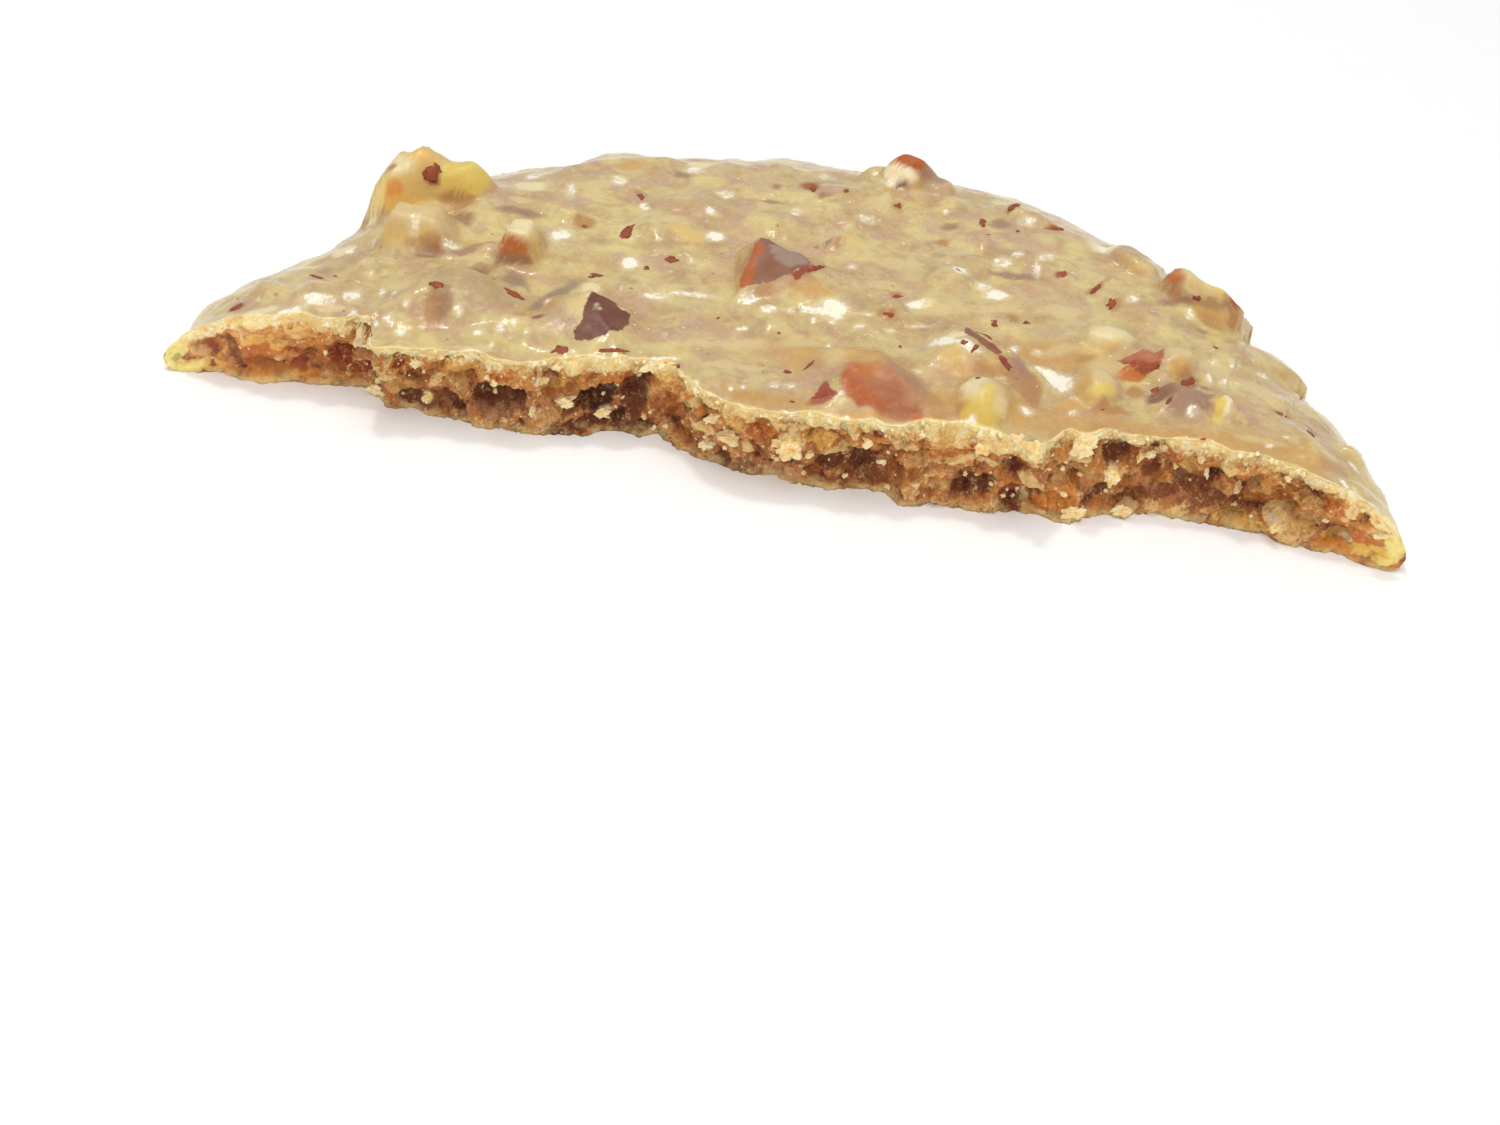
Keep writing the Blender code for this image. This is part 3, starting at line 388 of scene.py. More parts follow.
# Colour of the broken face, by tone: (x, z, length, height, direction). A later tone lies over the
# ones before it, and each stands out or lies deep by its own amount.
BREAK_PATCHES = {
    "rust": (
        (-38.2, 2.3, 3.1, 1.3, 3), (-39, 1.4, 1.7, 0.9, 18), (-37.3, 1, 2.5, 0.7, 13),
        (-34.9, 0.4, 2, 0.9, 16), (-28.1, 1.1, 1.3, 0.9, 72), (-19.6, 4.5, 2.3, 0.7, 12),
        (-12.5, 5.8, 2.7, 1.4, 14), (-10.9, 4.6, 1.7, 1.4, -9), (-7.3, 2.7, 2, 1.5, 81),
        (-0.6, 3.8, 3.3, 1.4, 7), (11.7, 4.8, 1.7, 0.9, 13), (14.7, 5.5, 1.2, 0.8, -83),
        (14.7, 4.5, 1.1, 0.4, -38), (20.3, 0.5, 2.8, 0.9, 2), (28.8, 4.9, 1.5, 1, 27),
        (40.3, 4.8, 1.8, 0.9, -29), (40.4, 3.3, 1.4, 1.2, -10), (42.9, 1.9, 1.8, 1.3, 7),
    ),
    "orange": (
        (-43.1, 2.6, 1.2, 0.8, 56), (-40.2, 4.2, 0.7, 0.4, 66), (-34.2, 3, 2.1, 1.2, 19),
        (-37.8, 0.5, 6.4, 1.1, 8), (-33.7, 0.2, 0.8, 0.5, 23), (-18.1, 5.2, 3.7, 0.9, 2),
        (-9.7, 4.9, 1, 0.8, 45), (-4.6, 4.2, 1.3, 0.9, 48), (21.5, 1.4, 2.8, 1.8, 13),
        (40.9, 0.5, 2.8, 0.7, 1),
    ),
    "brown": (
        (-42.3, 2.4, 2.4, 1.9, 15), (-32.2, 1.4, 3.1, 0.7, 0), (-25.2, 2.9, 2.2, 1.3, 78),
        (-15.8, 3.3, 2.8, 1, 13), (-13.1, 5.2, 1.6, 1.3, 70), (-8.6, 2.1, 3.1, 0.9, 48),
        (-5.9, 2.1, 1.7, 1.5, -13), (0.6, 2.6, 1.4, 0.9, 1), (3.7, 2.8, 2.2, 0.9, 13),
        (9, 3.2, 1.4, 0.7, 13), (9.4, 2.1, 1.9, 1.1, 14), (11.1, 2.5, 1.6, 1.2, 18),
        (11.9, 1.2, 1.7, 1.2, 17), (14.7, 1, 2.1, 1.3, 14), (26.6, 4.1, 2.8, 1.2, 12),
        (33.3, 5.5, 3.4, 0.9, 12), (35.3, 5.7, 2.7, 1, 4), (34.1, 0.8, 2.1, 0.7, 12),
        (37.3, 4.4, 2.3, 1.1, -28), (39, 5.3, 2.7, 1.2, -28),
    ),
    "umber": (
        (-40.3, 2.2, 2.8, 0.9, -75), (-25.2, 1.5, 3.8, 0.9, 0), (-25, 0.6, 3.1, 0.7, 6),
        (-11.3, 3.4, 1.5, 1.3, -35), (-16.1, 0.5, 1.2, 0.7, -3), (-3.6, 0.4, 2.9, 0.7, 0),
        (5.8, 0.6, 3.6, 0.7, 6), (7.9, 0.9, 2.9, 0.9, 12), (26.5, 1.4, 3.1, 0.9, 12),
        (27.5, 3.3, 1.4, 0.9, 11), (29.2, 2, 2.4, 1.1, 26), (30.9, 2.3, 2.1, 1.1, -3),
        (32.5, 1.7, 3.1, 0.9, 8),
    ),
    "mauve": (
        (-19.5, 1.6, 3.9, 1.1, 12), (-1.5, 0.5, 2.9, 1.3, -7), (29.7, 2.8, 1.4, 1.1, 10),
        (30.9, 1, 0.9, 0.7, -74),
    ),
    "tan": (
        (-32.3, 0.2, 2.9, 0.8, -27), (-31, 0, 1.5, 1, -17), (-27.1, 2.2, 2.4, 1, 15),
        (-22.7, 2.8, 1.7, 1.3, 89), (-16, 1.6, 2, 1.1, 16), (-7.6, 0.8, 1.3, 1, 76),
        (5.7, 1.2, 0.7, 0.4, -87), (11.2, 3.4, 1.7, 0.9, 13), (13.1, 1.6, 2.7, 0.7, 6),
        (14.5, 0.4, 3.6, 0.5, 8), (21.3, 3.1, 1.9, 0.7, 38), (19.8, 4.6, 1.2, 1, -81),
        (23.4, 3, 3.2, 0.5, -19), (30.2, 3.9, 1.4, 1.2, 4), (35.3, 3.2, 1.6, 1.4, 3),
        (38.5, 1.8, 2.5, 1.3, 3), (38.7, 3.5, 1.7, 0.7, 11), (38.6, 1.3, 2.1, 0.7, -2),
    ),
    "gold": (
        (-42.8, 0.6, 3.2, 0.9, 7), (-38.2, 3.4, 3.2, 0.7, 12), (-36.9, 3, 1.3, 0.8, 24),
        (-35, 4.9, 2.5, 0.6, 22), (-32.6, 5.9, 3.6, 0.8, 20), (-38.3, 0.1, 5.6, 0.5, 8),
        (-29.1, 5.9, 1.1, 0.6, 79), (-25.7, 5.9, 1.8, 0.8, 14), (-22.4, 4.8, 2.3, 1.3, 18),
        (-20.7, 5.7, 1.9, 0.7, 1), (-16.1, 3.7, 2.3, 0.7, 12), (-2.1, 4.5, 1.3, 1.1, -83),
        (-1.4, 5.5, 1.7, 0.7, -13), (4.1, 4.1, 2, 1, 14), (7.1, 5.7, 0.8, 0.7, 78),
        (12.7, 5.1, 1.5, 1, 14), (20.2, 5.8, 1.2, 1, -80), (26.5, 5.5, 1.4, 0.8, -3),
        (30.4, 5.9, 3.4, 0.7, 18), (30.3, 4.8, 1.4, 0.5, 11), (34.6, 0.6, 4.2, 0.7, -1),
        (41.1, 1.3, 2, 0.7, 19),
    ),
    "cream": (
        (-38.5, 4.9, 2.9, 0.8, 12), (-31.6, 5.2, 1.9, 0.7, 13), (-28.7, 2.8, 2.6, 0.6, 0),
        (-27.8, 4.6, 1.8, 0.7, 83), (-24.4, 3.1, 2, 0.6, 42), (-14.3, 5.4, 1.6, 1.2, 77),
        (-9.7, 3, 1.2, 0.9, 21), (-5.4, 4.4, 3.2, 0.8, 39), (-4.3, 2.8, 1.5, 1, 20),
        (-1.2, 2.2, 1.1, 0.8, -49), (1.8, 4.8, 2.6, 0.5, 6), (5.7, 3.2, 2.9, 0.7, 6),
        (9.9, 4.5, 2.1, 0.9, -1), (14, 3.9, 2.1, 0.7, 25), (15.7, 3.9, 2.1, 0.5, -1),
        (16.7, 5.4, 1.1, 0.7, 13), (19.1, 2.5, 2.3, 1, -38), (23.3, 6.2, 0.9, 0.5, -29),
        (26.3, 0.3, 1.7, 0.9, 12), (29.9, 0.5, 1, 0.9, 4), (32.7, 4.6, 1.2, 0.9, -72),
        (36.8, 1.6, 1.8, 1.3, 9), (41.5, 3.5, 1.3, 0.9, -43),
    ),
    "rosy": (
        (-20.2, 1.1, 0.7, 0.6, 39), (-19.2, 1.8, 1.1, 0.7, 20), (1.4, 0.6, 2.9, 1.3, 0),
        (-0.3, 0.3, 0.7, 0.4, -88), (31.7, 0.2, 1, 0.6, 11),
    ),
    # Partly the clear candy's own pale colour, partly a painted glow of light through the thin tips.
    "tip": (
        (-45, 1.3, 3.3, 1.9, 69), (-43.7, 0.4, 2.5, 0.7, 13), (44.9, 1.8, 2.4, 1.4, -69),
        (44.5, 0.7, 1.6, 0.7, 11),
    ),
    "red_brown": (
        (-42.1, 0.6, 0.6, 0.4, 67), (-41.9, 2.3, 1.0, 1.1, 0), (-35.9, 2.4, 1.2, 0.6, -11),
        (-32, 2.2, 3.8, 1.8, -19), (-32.4, 2.4, 1.7, 1.6, -19), (-35.7, 1.3, 1.4, 1, 59),
        (-27, 4.3, 0.9, 0.6, 62), (8, 5, 0.8, 0.6, -19), (17.8, 1.3, 1.6, 1.3, -58),
        (18.2, 0.6, 1.6, 1.1, 14),
    ),
    # Painted shade in the hollows and a painted shadow.
    "dark": (
        (-26.3, 1.2, 2.3, 1.5, 8), (-23.2, 1.3, 2.2, 1.1, -42), (-19.7, 2.5, 3.8, 2, 9),
        (-20.9, 2.6, 2, 1.2, 55), (-13.8, 0.6, 4.6, 0.9, 12), (-18.4, 0.4, 1.3, 0.7, 18),
        (-10.3, 2.1, 2.8, 1.9, 67), (-10.6, 0.2, 3.8, 0.9, 12), (-7.9, 0, 1.8, 0.9, -13),
        (6.8, 2, 2.9, 1.6, 7), (4.9, 2, 2.2, 1.1, 14), (15.2, 1.8, 3.2, 1.4, 19),
        (24.7, 4.7, 1.8, 1.7, 3), (24.4, 4.2, 1, 0.9, 10), (24.1, 2, 1.1, 0.7, 28),
    ),
    "yellow": (
        (-7.9, 5.2, 2.6, 1, 7), (18.3, 5.7, 1.2, 0.9, -44), (43.6, 0.9, 2.7, 0.9, 5),
    ),
    "pale": (
        (-44.6, 2.8, 2.3, 0.7, 36), (-42.9, 3.2, 3.7, 0.7, 17), (-29.4, 0.1, 1.5, 0.7, -4),
        (-27.4, 6, 1.5, 0.8, 17), (-8.5, 5.8, 2.3, 0.7, 23), (-6, 6, 1.3, 0.8, -43),
        (2, 3.5, 2, 1.8, 70), (6.2, 5.1, 0.8, 0.6, -89), (15.4, 5.4, 1.1, 0.7, -2),
        (18.8, 1.1, 1.3, 0.7, -81), (22.3, 5.8, 1.7, 1.5, 45), (22.3, 4.3, 1.7, 0.7, -2),
        (22.6, 0.3, 1.7, 0.9, 20), (28, 4.8, 0.9, 0.7, 69), (24.7, 3.2, 1.2, 1, -78),
        (28.3, 5.8, 0.6, 0.5, -69), (26.1, 0.1, 1.4, 0.7, 12), (33.8, 2.9, 1.1, 0.5, -75),
        (43.5, 3.7, 1.8, 0.9, -30), (41.8, 1.2, 0.7, 0.7, -53), (43.7, 2.7, 1.1, 0.5, 11),
    ),
    # Painted shade inside the holes.
    "hole": (
        (-12.5, 2.5, 3, 1.5, 37), (-13.9, 2.2, 1.4, 0.9, 52), (-11.3, 0.9, 1, 0.8, 49),
        (31.9, 3.5, 0.9, 0.8, 86),
    ),
    # Partly white sugar crumbs, partly painted glints.
    "white": (
        (-30.7, 4.6, 1.8, 0.7, 83), (-25.8, 4.6, 0.8, 0.6, 62), (-25.2, 1.3, 0.9, 0.7, 54),
        (-16.6, 4.1, 0.8, 0.6, 17), (-15.5, 5.5, 0.8, 0.4, 16), (-17.2, 1.8, 0.7, 0.4, 82),
        (-14.9, 2.6, 1.2, 0.7, -3), (-12.3, 1.5, 1.1, 0.7, 19), (-3.9, 4.1, 1.1, 0.5, 31),
        (-4.2, 1.4, 1.3, 0.7, 28), (-2.6, 2.6, 1.6, 0.8, 8), (17.7, 6.3, 1.2, 1, -53),
        (18.8, 6.2, 1.2, 1.1, -64), (25.5, 5.8, 0.5, 0.4, 7), (31.5, 3.3, 0.9, 0.3, -76),
        (36.7, 1.3, 0.7, 0.7, -55),
    ),
}  # fmt: skip
STANDS_OUT = {
    "hole": -0.75, "dark": -0.5, "red_brown": -0.32, "umber": -0.2, "brown": -0.08, "mauve": -0.05,
    "rust": 0.06, "orange": 0.08, "tan": 0.1, "gold": 0.12, "yellow": 0.12, "rosy": 0.12, "tip": 0.05,
    "cream": 0.3, "pale": 0.35, "white": 0.3,
}  # for a feature 1 mm high  # fmt: skip
TALLEST = 1.6  # a taller feature stands out no further than one of this height

# The crumbling of the broken face, in mm unless a comment says otherwise.
USUAL_CRUMBLE = 0.30 * MM  # the depth that the numbers below are for, in metres
LEDGE_WIDTH, LEDGE_HEIGHT, LEDGE_OUT = 2.6, 1.2, 0.42
LUMP_SIZE, LUMP_OUT = 1.3, 0.24
HOLLOW_SIZE, HOLLOW_START, HOLLOW_DEPTH = 2.1, 0.16, 1.7
GRAIN_WARP_SIZE, GRAIN_WARP = 0.9, 0.35
SIDEWAYS_SIZE, SIDEWAYS = 0.55, 0.16
TIP_FADE = (47.0, 43.0)  # distances to the side, from none of it to all
CALM_ENDS = ((-31.5, -34.5, 0.55), (38.0, 42.0, 0.4))  # x from, x to, how much calmer

# Its grains: size, share of the warp, shift, part in the crumbs and the relief.
GRAINS = (
    (1.5, 1, (0, 0, 0), 0.34, 0.6),
    (0.72, 1, (11, 5, 2), 0.22, 0.5),
    (0.36, 0, (3, 8, 6), 0.11, 0.25),
)


def tone(red, green, blue):
    """Linear colour from a red, green and blue of 0 to 255."""
    return tuple(((part / 255 + 0.055) / 1.055) ** 2.4 for part in (red, green, blue))


TONES = {
    "cream_film": tone(214, 192, 140),
    "tan_film": tone(176, 150, 110),
    "rosy_film": tone(190, 160, 132),
    "gold_film": tone(204, 162, 94),
    "mauve_film": tone(160, 124, 102),
    "slate_film": tone(150, 128, 106),
    "amber_film": tone(180, 132, 82),
    "butter_film": tone(218, 188, 118),
    "pale_film": tone(230, 216, 170),
    "brown_film": tone(148, 104, 76),
    "blush_film": tone(184, 118, 76),
    "red_film": tone(158, 80, 44),
    "orange_film": tone(190, 102, 34),
    "ember_film": tone(176, 74, 4),
    "honey_film": tone(198, 150, 84),
    "yellow_film": tone(222, 198, 100),
    "plum_film": tone(128, 84, 64),
    "knob_spot": tone(124, 52, 36),
    "facet_skin": tone(100, 40, 32),
    "mauve_skin": tone(142, 94, 74),
    "grey_skin": tone(158, 136, 122),
    "orange_skin": tone(182, 90, 30),
    "red_skin": tone(148, 50, 26),
    "brown_skin": tone(134, 82, 62),
    "pip_skin": tone(188, 104, 66),
    # Partly the clear candy's own colour, partly a painted glow.
    "tip": tone(255, 238, 152),
    "pale": tone(254, 234, 184),
    # Pale sugar, and painted highlights where the spots and the broken face use it.
    "white": tone(255, 245, 216),
    "cream": tone(250, 224, 160),
    "gold": tone(240, 194, 106),
    "yellow": tone(250, 212, 110),
    "orange": tone(226, 154, 74),
    "rust": tone(204, 122, 58),
    "red_brown": tone(156, 70, 40),
    "brown": tone(178, 114, 62),
    "umber": tone(146, 88, 52),
    # Painted shade in hollows and holes, and a painted shadow.
    "dark": tone(112, 58, 40),
    "hole": tone(70, 32, 22),
    "tan": tone(216, 172, 108),
    "mauve": tone(162, 116, 82),
    "rosy": tone(206, 164, 124),
    "thin_rim": tone(236, 216, 158),
    "film_grit": tone(164, 118, 78),
    "film_glint": tone(240, 222, 168),
    # A painted haze round the bloom and the painted glints.
    "glint_haze": tone(238, 228, 196),
    "bloom": tone(250, 243, 224),
    "ring": tone(246, 238, 212),
    "low_break": tone(190, 132, 88),
    # Painted light on grains that stand proud.
    "painted_lit_grain": tone(254, 226, 160),
    "sugar": tone(252, 238, 204),
    "foot": tone(236, 202, 138),
    "lip": tone(254, 224, 150),
    # Pale sugar with painted glints, along the lip.
    "lip_sugar_glint": tone(254, 242, 206),
    "crumb_side": tone(244, 206, 132),
    "edge_crumb": tone(254, 236, 190),
}
# What a colour is multiplied by: painted shade on steep sides and in crevices, and a warmer break.
STEEP_PAINTED_SHADE = (0.92, 0.68, 0.42)
FACE_SHADE = (0.86, 0.68, 0.52)
CREVICE_PAINTED_SHADE = (0.56, 0.36, 0.20)
# Clouds in the film: size in mm, roughness, seed, where they begin and are full, strength, tone.
FILM_CLOUDS = (
    (2.6, 0.5, 3, 0.44, 0.67, 0.66, tone(222, 204, 138)),
    (2.4, 0.5, 4, 0.46, 0.67, 0.62, tone(194, 154, 134)),
    (1.3, 0.55, 18, 0.50, 0.70, 0.4, tone(188, 150, 96)),
)


# ---------------------------------------------------------------------------------------------
# Settings


class PralineSizes(bpy.types.PropertyGroup):
    """Sizes of the visible detail."""

    cell: FloatProperty(
        name="Cell",
        description="Distance between the sections along the break",
        default=0.305 * MM,
        unit="LENGTH",
    )
    crumble: FloatProperty(
        name="Crumble",
        description="How deep the grains and cracks of the broken face are",
        default=USUAL_CRUMBLE,
        unit="LENGTH",
    )
    crumbs: IntProperty(
        name="Crumbs",
        description="Number of small crumbs on the broken face",
        default=190,
    )
    edge_crumbs: IntProperty(
        name="Edge crumbs",
        description="Number of pale crumbs along the top edge of the break",
        default=150,
    )
    flecks: IntProperty(
        name="Flecks",
        description="Number of tiny flecks of pecan skin besides the ones with a place of their own",
        default=24,
    )


class PralineColours(bpy.types.PropertyGroup):
    """Colours of the candy, its broken face and the bits on it."""

    candy_yellow: FloatVectorProperty(
        name="Yellow candy",
        description="Candy where it is buttery",
        subtype="COLOR",
        default=tone(208, 188, 134),
    )
    candy_tan: FloatVectorProperty(
        name="Tan candy",
        description="Candy in most places",
        subtype="COLOR",
        default=tone(196, 168, 119),
    )
    candy_grey: FloatVectorProperty(
        name="Grey candy",
        description="Candy over buried nuts",
        subtype="COLOR",
        default=tone(164, 128, 98),
    )
    # Partly pale sugar, partly painted light on the grains that stand proud.
    break_pale_and_lit: FloatVectorProperty(
        name="Light break",
        description="Grains that stand proud on the broken face",
        subtype="COLOR",
        default=tone(250, 220, 156),
    )
    break_mid: FloatVectorProperty(
        name="Middle break",
        description="Broken face in most places",
        subtype="COLOR",
        default=tone(218, 158, 88),
    )
    # Painted shade at the bottom of the cracks and holes.
    break_deep_shade: FloatVectorProperty(
        name="Deep break",
        description="Bottom of the cracks and holes",
        subtype="COLOR",
        default=tone(112, 60, 36),
    )
    crumb: FloatVectorProperty(
        name="Crumb",
        description="Loose crumbs of sugar",
        subtype="COLOR",
        default=tone(250, 230, 180),
    )
    fleck: FloatVectorProperty(
        name="Fleck",
        description="Flecks of pecan skin",
        subtype="COLOR",
        default=tone(148, 72, 44),
    )


# ---------------------------------------------------------------------------------------------
# The form


def wave(x, y, z, size):
    """Smooth random value from about -1 to 1, whose bumps are about size across."""
    return noise.noise(Vector((x, y, z)) / size)


def smooth_step(low, high, value):
    """0 below low, 1 above high and a smooth rise between them."""
    share = min(max((value - low) / (high - low), 0.0), 1.0)
    return share * share * (3 - 2 * share)


def line_at(points, x):
    """Y of a line through (x, y) points in mm, with x and the result in metres."""
    for (x0, y0), (x1, y1) in zip(points, points[1:]):
        if x0 * MM <= x <= x1 * MM:
            share = (x / MM - x0) / (x1 - x0)
            return (y0 + (y1 - y0) * share) * MM
    return points[-1][1] * MM


def puddle_height(inward):
    """Height of the plain puddle, a given way in from its edge."""
    return SLAB_HEIGHT * math.sqrt(1 - (1 - min(inward / RIM_WIDTH, 1)) ** 2)


def rim_radius(angle):
    """Distance from the middle of the round to its edge, at an angle in degrees."""
    bulge = sum(out * math.exp(-(((angle - at) / wide) ** 2)) for at, out, wide in RIM_BULGES)
    ragged = sum(out * math.sin(math.radians(angle * times + on)) for times, out, on in RIM_RIPPLES)
    ragged += float(np.interp(angle, *zip(*RIM_EDGE)))
    for size, out in RIM_NOTCHES:
        ragged += out * noise.noise(Vector((angle / size, 3.3, 7.1)))
    return ROUND_RADIUS + (bulge + ragged) * MM


def small_nubs():
    """Places and sizes of the deep pieces, drawn once with a fixed seed."""
    draw = random.Random(SMALL_NUB_SEED)
    nubs = []
    while len(nubs) < SMALL_NUBS:
        x, y = draw.uniform(-43, 43), draw.uniform(2, 43)
        length = draw.uniform(2.2, 5.5)
        width = length * draw.uniform(0.5, 0.9)
        height, way = draw.uniform(0.25, 0.75), draw.uniform(-90, 90)
        if math.hypot(x, y) < SMALL_NUB_REACH:
            nubs.append((x, y, length, width, height, way))
    return nubs


ALL_NUBS = list(NUBS) + list(REAR_LUMPS) + small_nubs()


def chunk_lift(chunk, x, y):
    """How far a chunk lifts the candy at a point, all in mm. Its lowest side or its top counts."""
    lowest = chunk.height
    for way, reach, steep in chunk.sides:
        out = (x - chunk.x) * math.cos(math.radians(way)) + (y - chunk.y) * math.sin(math.radians(way))
        side = steep * (reach - out)
        gap = max(chunk.soft - abs(lowest - side), 0) / chunk.soft
        lowest = min(lowest, side) - gap**2 * chunk.soft / 4
    if lowest > 6 * chunk.soft:
        return lowest
    return chunk.soft * math.log1p(math.exp(lowest / chunk.soft))


def oval_shares(oval, first, second):
    """How far along and across an oval a place lies, 1 at its edge. All in mm and degrees."""
    at_first, at_second, length, width, way = oval
    turn = math.radians(way)
    along = (first - at_first) * math.cos(turn) + (second - at_second) * math.sin(turn)
    across = (second - at_second) * math.cos(turn) - (first - at_first) * math.sin(turn)
    return 2 * along / length, 2 * across / width


def nub_lift(nub, x, y):
    """How far a rounded piece lifts the candy at a point, all in mm."""
    at_x, at_y, length, width, height, way = nub
    longest = 1.5 * max(length, width)
    if abs(x - at_x) > longest or abs(y - at_y) > longest:
        return 0.0
    out = math.hypot(*oval_shares((at_x, at_y, length, width, way), x, y))
    dome = max(1 - DOME_SIZE * out * out, 0.0) ** DOME_ROUNDNESS
    skirt = SKIRT_HEIGHT / (1 + out**SKIRT_FALL)
    return height * (dome**4 + skirt**4) ** 0.25 / NUB_MIDDLE * smooth_step(NUB_END, NUB_FULL, out)


def distance_to_line(points, x, y):
    """Distance in mm from a point to a line through points."""
    nearest = 1e9
    for (x0, y0), (x1, y1) in zip(points, points[1:]):
        length_squared = (x1 - x0) ** 2 + (y1 - y0) ** 2
        share = ((x - x0) * (x1 - x0) + (y - y0) * (y1 - y0)) / length_squared
        share = min(max(share, 0.0), 1.0)
        nearest = min(nearest, math.hypot(x - x0 - share * (x1 - x0), y - y0 - share * (y1 - y0)))
    return nearest


def fold_lift(x, y):
    """How far the folds lift the film at a point, all in mm."""
    lift = 0.0
    for points, height, half_width in FOLDS:
        if min(p[0] for p in points) - 2 < x < max(p[0] for p in points) + 2:
            away = distance_to_line(points, x, y) / half_width
            if away < 3:
                ragged = 0.65 + 0.6 * wave(x, y, 3.0, 1.6)
                lift += height * max(ragged, 0.1) * math.exp(-away * away)
    return lift


def top_lift(x, y):
    """How far the top at a point of the round stands above its plain puddle, in metres."""
    warp = Vector()
    for height, size, out in TOP_WARPS:
        warp += noise.noise_vector(Vector((x, y, height)) / size) * out
    at_x, at_y = x / MM, y / MM
    chunk_x, chunk_y = at_x + warp.x * CHUNK_WARP, at_y + warp.y * CHUNK_WARP
    chunks = sum(chunk_lift(chunk, chunk_x, chunk_y) ** 3 for chunk in CHUNKS)
    rounded = sum(nub_lift(nub, at_x + warp.x, at_y + warp.y) ** 3 for nub in ALL_NUBS)
    lift = (chunks + rounded) ** (1 / 3)
    lift *= 1 + 0.12 * min(lift, 1.0) * wave(x, y, 0.031, 1.3 * MM)
    waves = sum(height * wave(x, y, 0.02, size) for size, height in TOP_WAVES + FINE_WAVES)
    return lift * MM + waves


def plain_reach(x, y):
    """Distance from the middle at which a point of the uneven half lay in the plain round."""
    reach = math.hypot(x, y)
    uneven = rim_radius(math.degrees(math.atan2(y, x))) / ROUND_RADIUS
    plain = reach
    for _ in range(5):
        near_rim = min(max((plain / ROUND_RADIUS - 0.6) / 0.4, 0.0), 1.0)
        plain = reach / (1 + (uneven - 1) * near_rim)
    return plain


def lifted_share(x, y, inward):
    """What the height of the plain round is multiplied by at a point."""
    inside = max(inward, 0.3 * MM)
    off_the_nose = min(inside / (2.2 * MM), 1.0)
    lift = top_lift(x, y) + fold_lift(x / MM, y / MM) * MM
    return 1 + lift * off_the_nose / puddle_height(inside) - REAR_THINNING * (y / ROUND_RADIUS) ** 2


NOSE_START = RIM_WIDTH * (1 - math.sqrt(1 - (RIM_NOSE / SLAB_HEIGHT) ** 2))


def top_height(x, y):
    """Height of the top at a point."""
    inward = max(ROUND_RADIUS - plain_reach(x, y), NOSE_START)
    return puddle_height(inward) * lifted_share(x, y, inward)


def low_height(x, y):
    """Height of the underside at a point: 0, and the curve of the nose near the rim."""
    inward = max(ROUND_RADIUS - plain_reach(x, y), NOSE_START)
    along = (inward - NOSE_START) / RIM_NOSE
    if along >= 1:
        return 0.0
    return RIM_NOSE * (1 - math.sqrt(1 - (1 - along) ** 2)) * lifted_share(x, y, inward)


def middle_of_break(x):
    """Y of the break at half its height, without its crags."""
    return (line_at(BREAK_AT_TOP, x) + line_at(BREAK_AT_UNDERSIDE, x)) / 2


def break_y(x, z):
    """Where the broken face lies."""
    share = min(max(z / SLAB_HEIGHT, 0.0), 1.0)
    y = line_at(BREAK_AT_TOP, x) * share + line_at(BREAK_AT_UNDERSIDE, x) * (1 - share)
    y += BREAK_HOLLOW * math.sin(math.pi * share)
    return y + sum(depth * wave(x, 0, z, size) for size, depth in BREAK_CRAGS)


# ---------------------------------------------------------------------------------------------
# The mesh of the candy

TIP_TILT = 0.85  # how far sideways a section leans at the tips, for each step backwards
WALL_ROWS = 23
TOP_ROWS = 128
NOSE_ROWS = 7
UNDER_ROWS = 12
FINE_TOP_ROWS = 5  # rows next to the break that get the broken face's small cells
FINE_UNDER_ROWS = 1
BLEND_WIDTH = 0.9 * MM  # how far the crumbling reaches into the top and the underside
RAY_STEPS = 130
STEEPEST = 2.6  # a slope beyond this gets no more rows
HALVINGS = 40  # of a stretch, to find where it leaves the round
TIP_CROWDING = 0.006  # how much closer the sections stand at the tips
FOOT_CLEARANCE = 0.02 * MM  # above the paper, of what doesn't rest on it
SAME_PLACE = 0.002 * MM  # points closer than this are one


def last_inside(near, far, place):
    """Last distance at which a stretch lies in the round. Place gives its point at a distance."""
    for _ in range(HALVINGS):
        middle = (near + far) / 2
        inside = plain_reach(*place(middle)) < ROUND_RADIUS - NOSE_START
        near, far = (middle, far) if inside else (near, middle)
    return near


def tip_of_break(side):
    """X at which the broken face ends in the rim, on the left for -1 and on the right for 1."""
    return side * last_inside(
        40 * MM, 50 * MM, lambda out: (side * out, break_y(side * out, RIM_NOSE))
    )


def section_places(cell):
    """X of each section, evenly spaced along the break with its steps, closer at the two tips."""
    xs = np.linspace(tip_of_break(-1), tip_of_break(1), 4000)
    ys = np.array([middle_of_break(x) for x in xs])
    along = np.concatenate([[0], np.cumsum(np.hypot(np.diff(xs), np.diff(ys)))])
    share = np.linspace(0, 1, round(along[-1] / cell) + 1)
    ends = TIP_CROWDING * np.sin(2 * math.pi * share)
    return np.interp((share - ends) * along[-1], along, xs)


def ray_to_rim(start, way):
    """Distances from a point of the break along a ray, with how far in from the edge each is."""
    longest = last_inside(0.0, 120 * MM, lambda distance: start + way * distance)
    distances = longest * (1 - np.linspace(1, 0, RAY_STEPS) ** 1.25)
    inward = [ROUND_RADIUS - plain_reach(*(start + way * distance)) for distance in distances]
    return distances, np.array(inward)


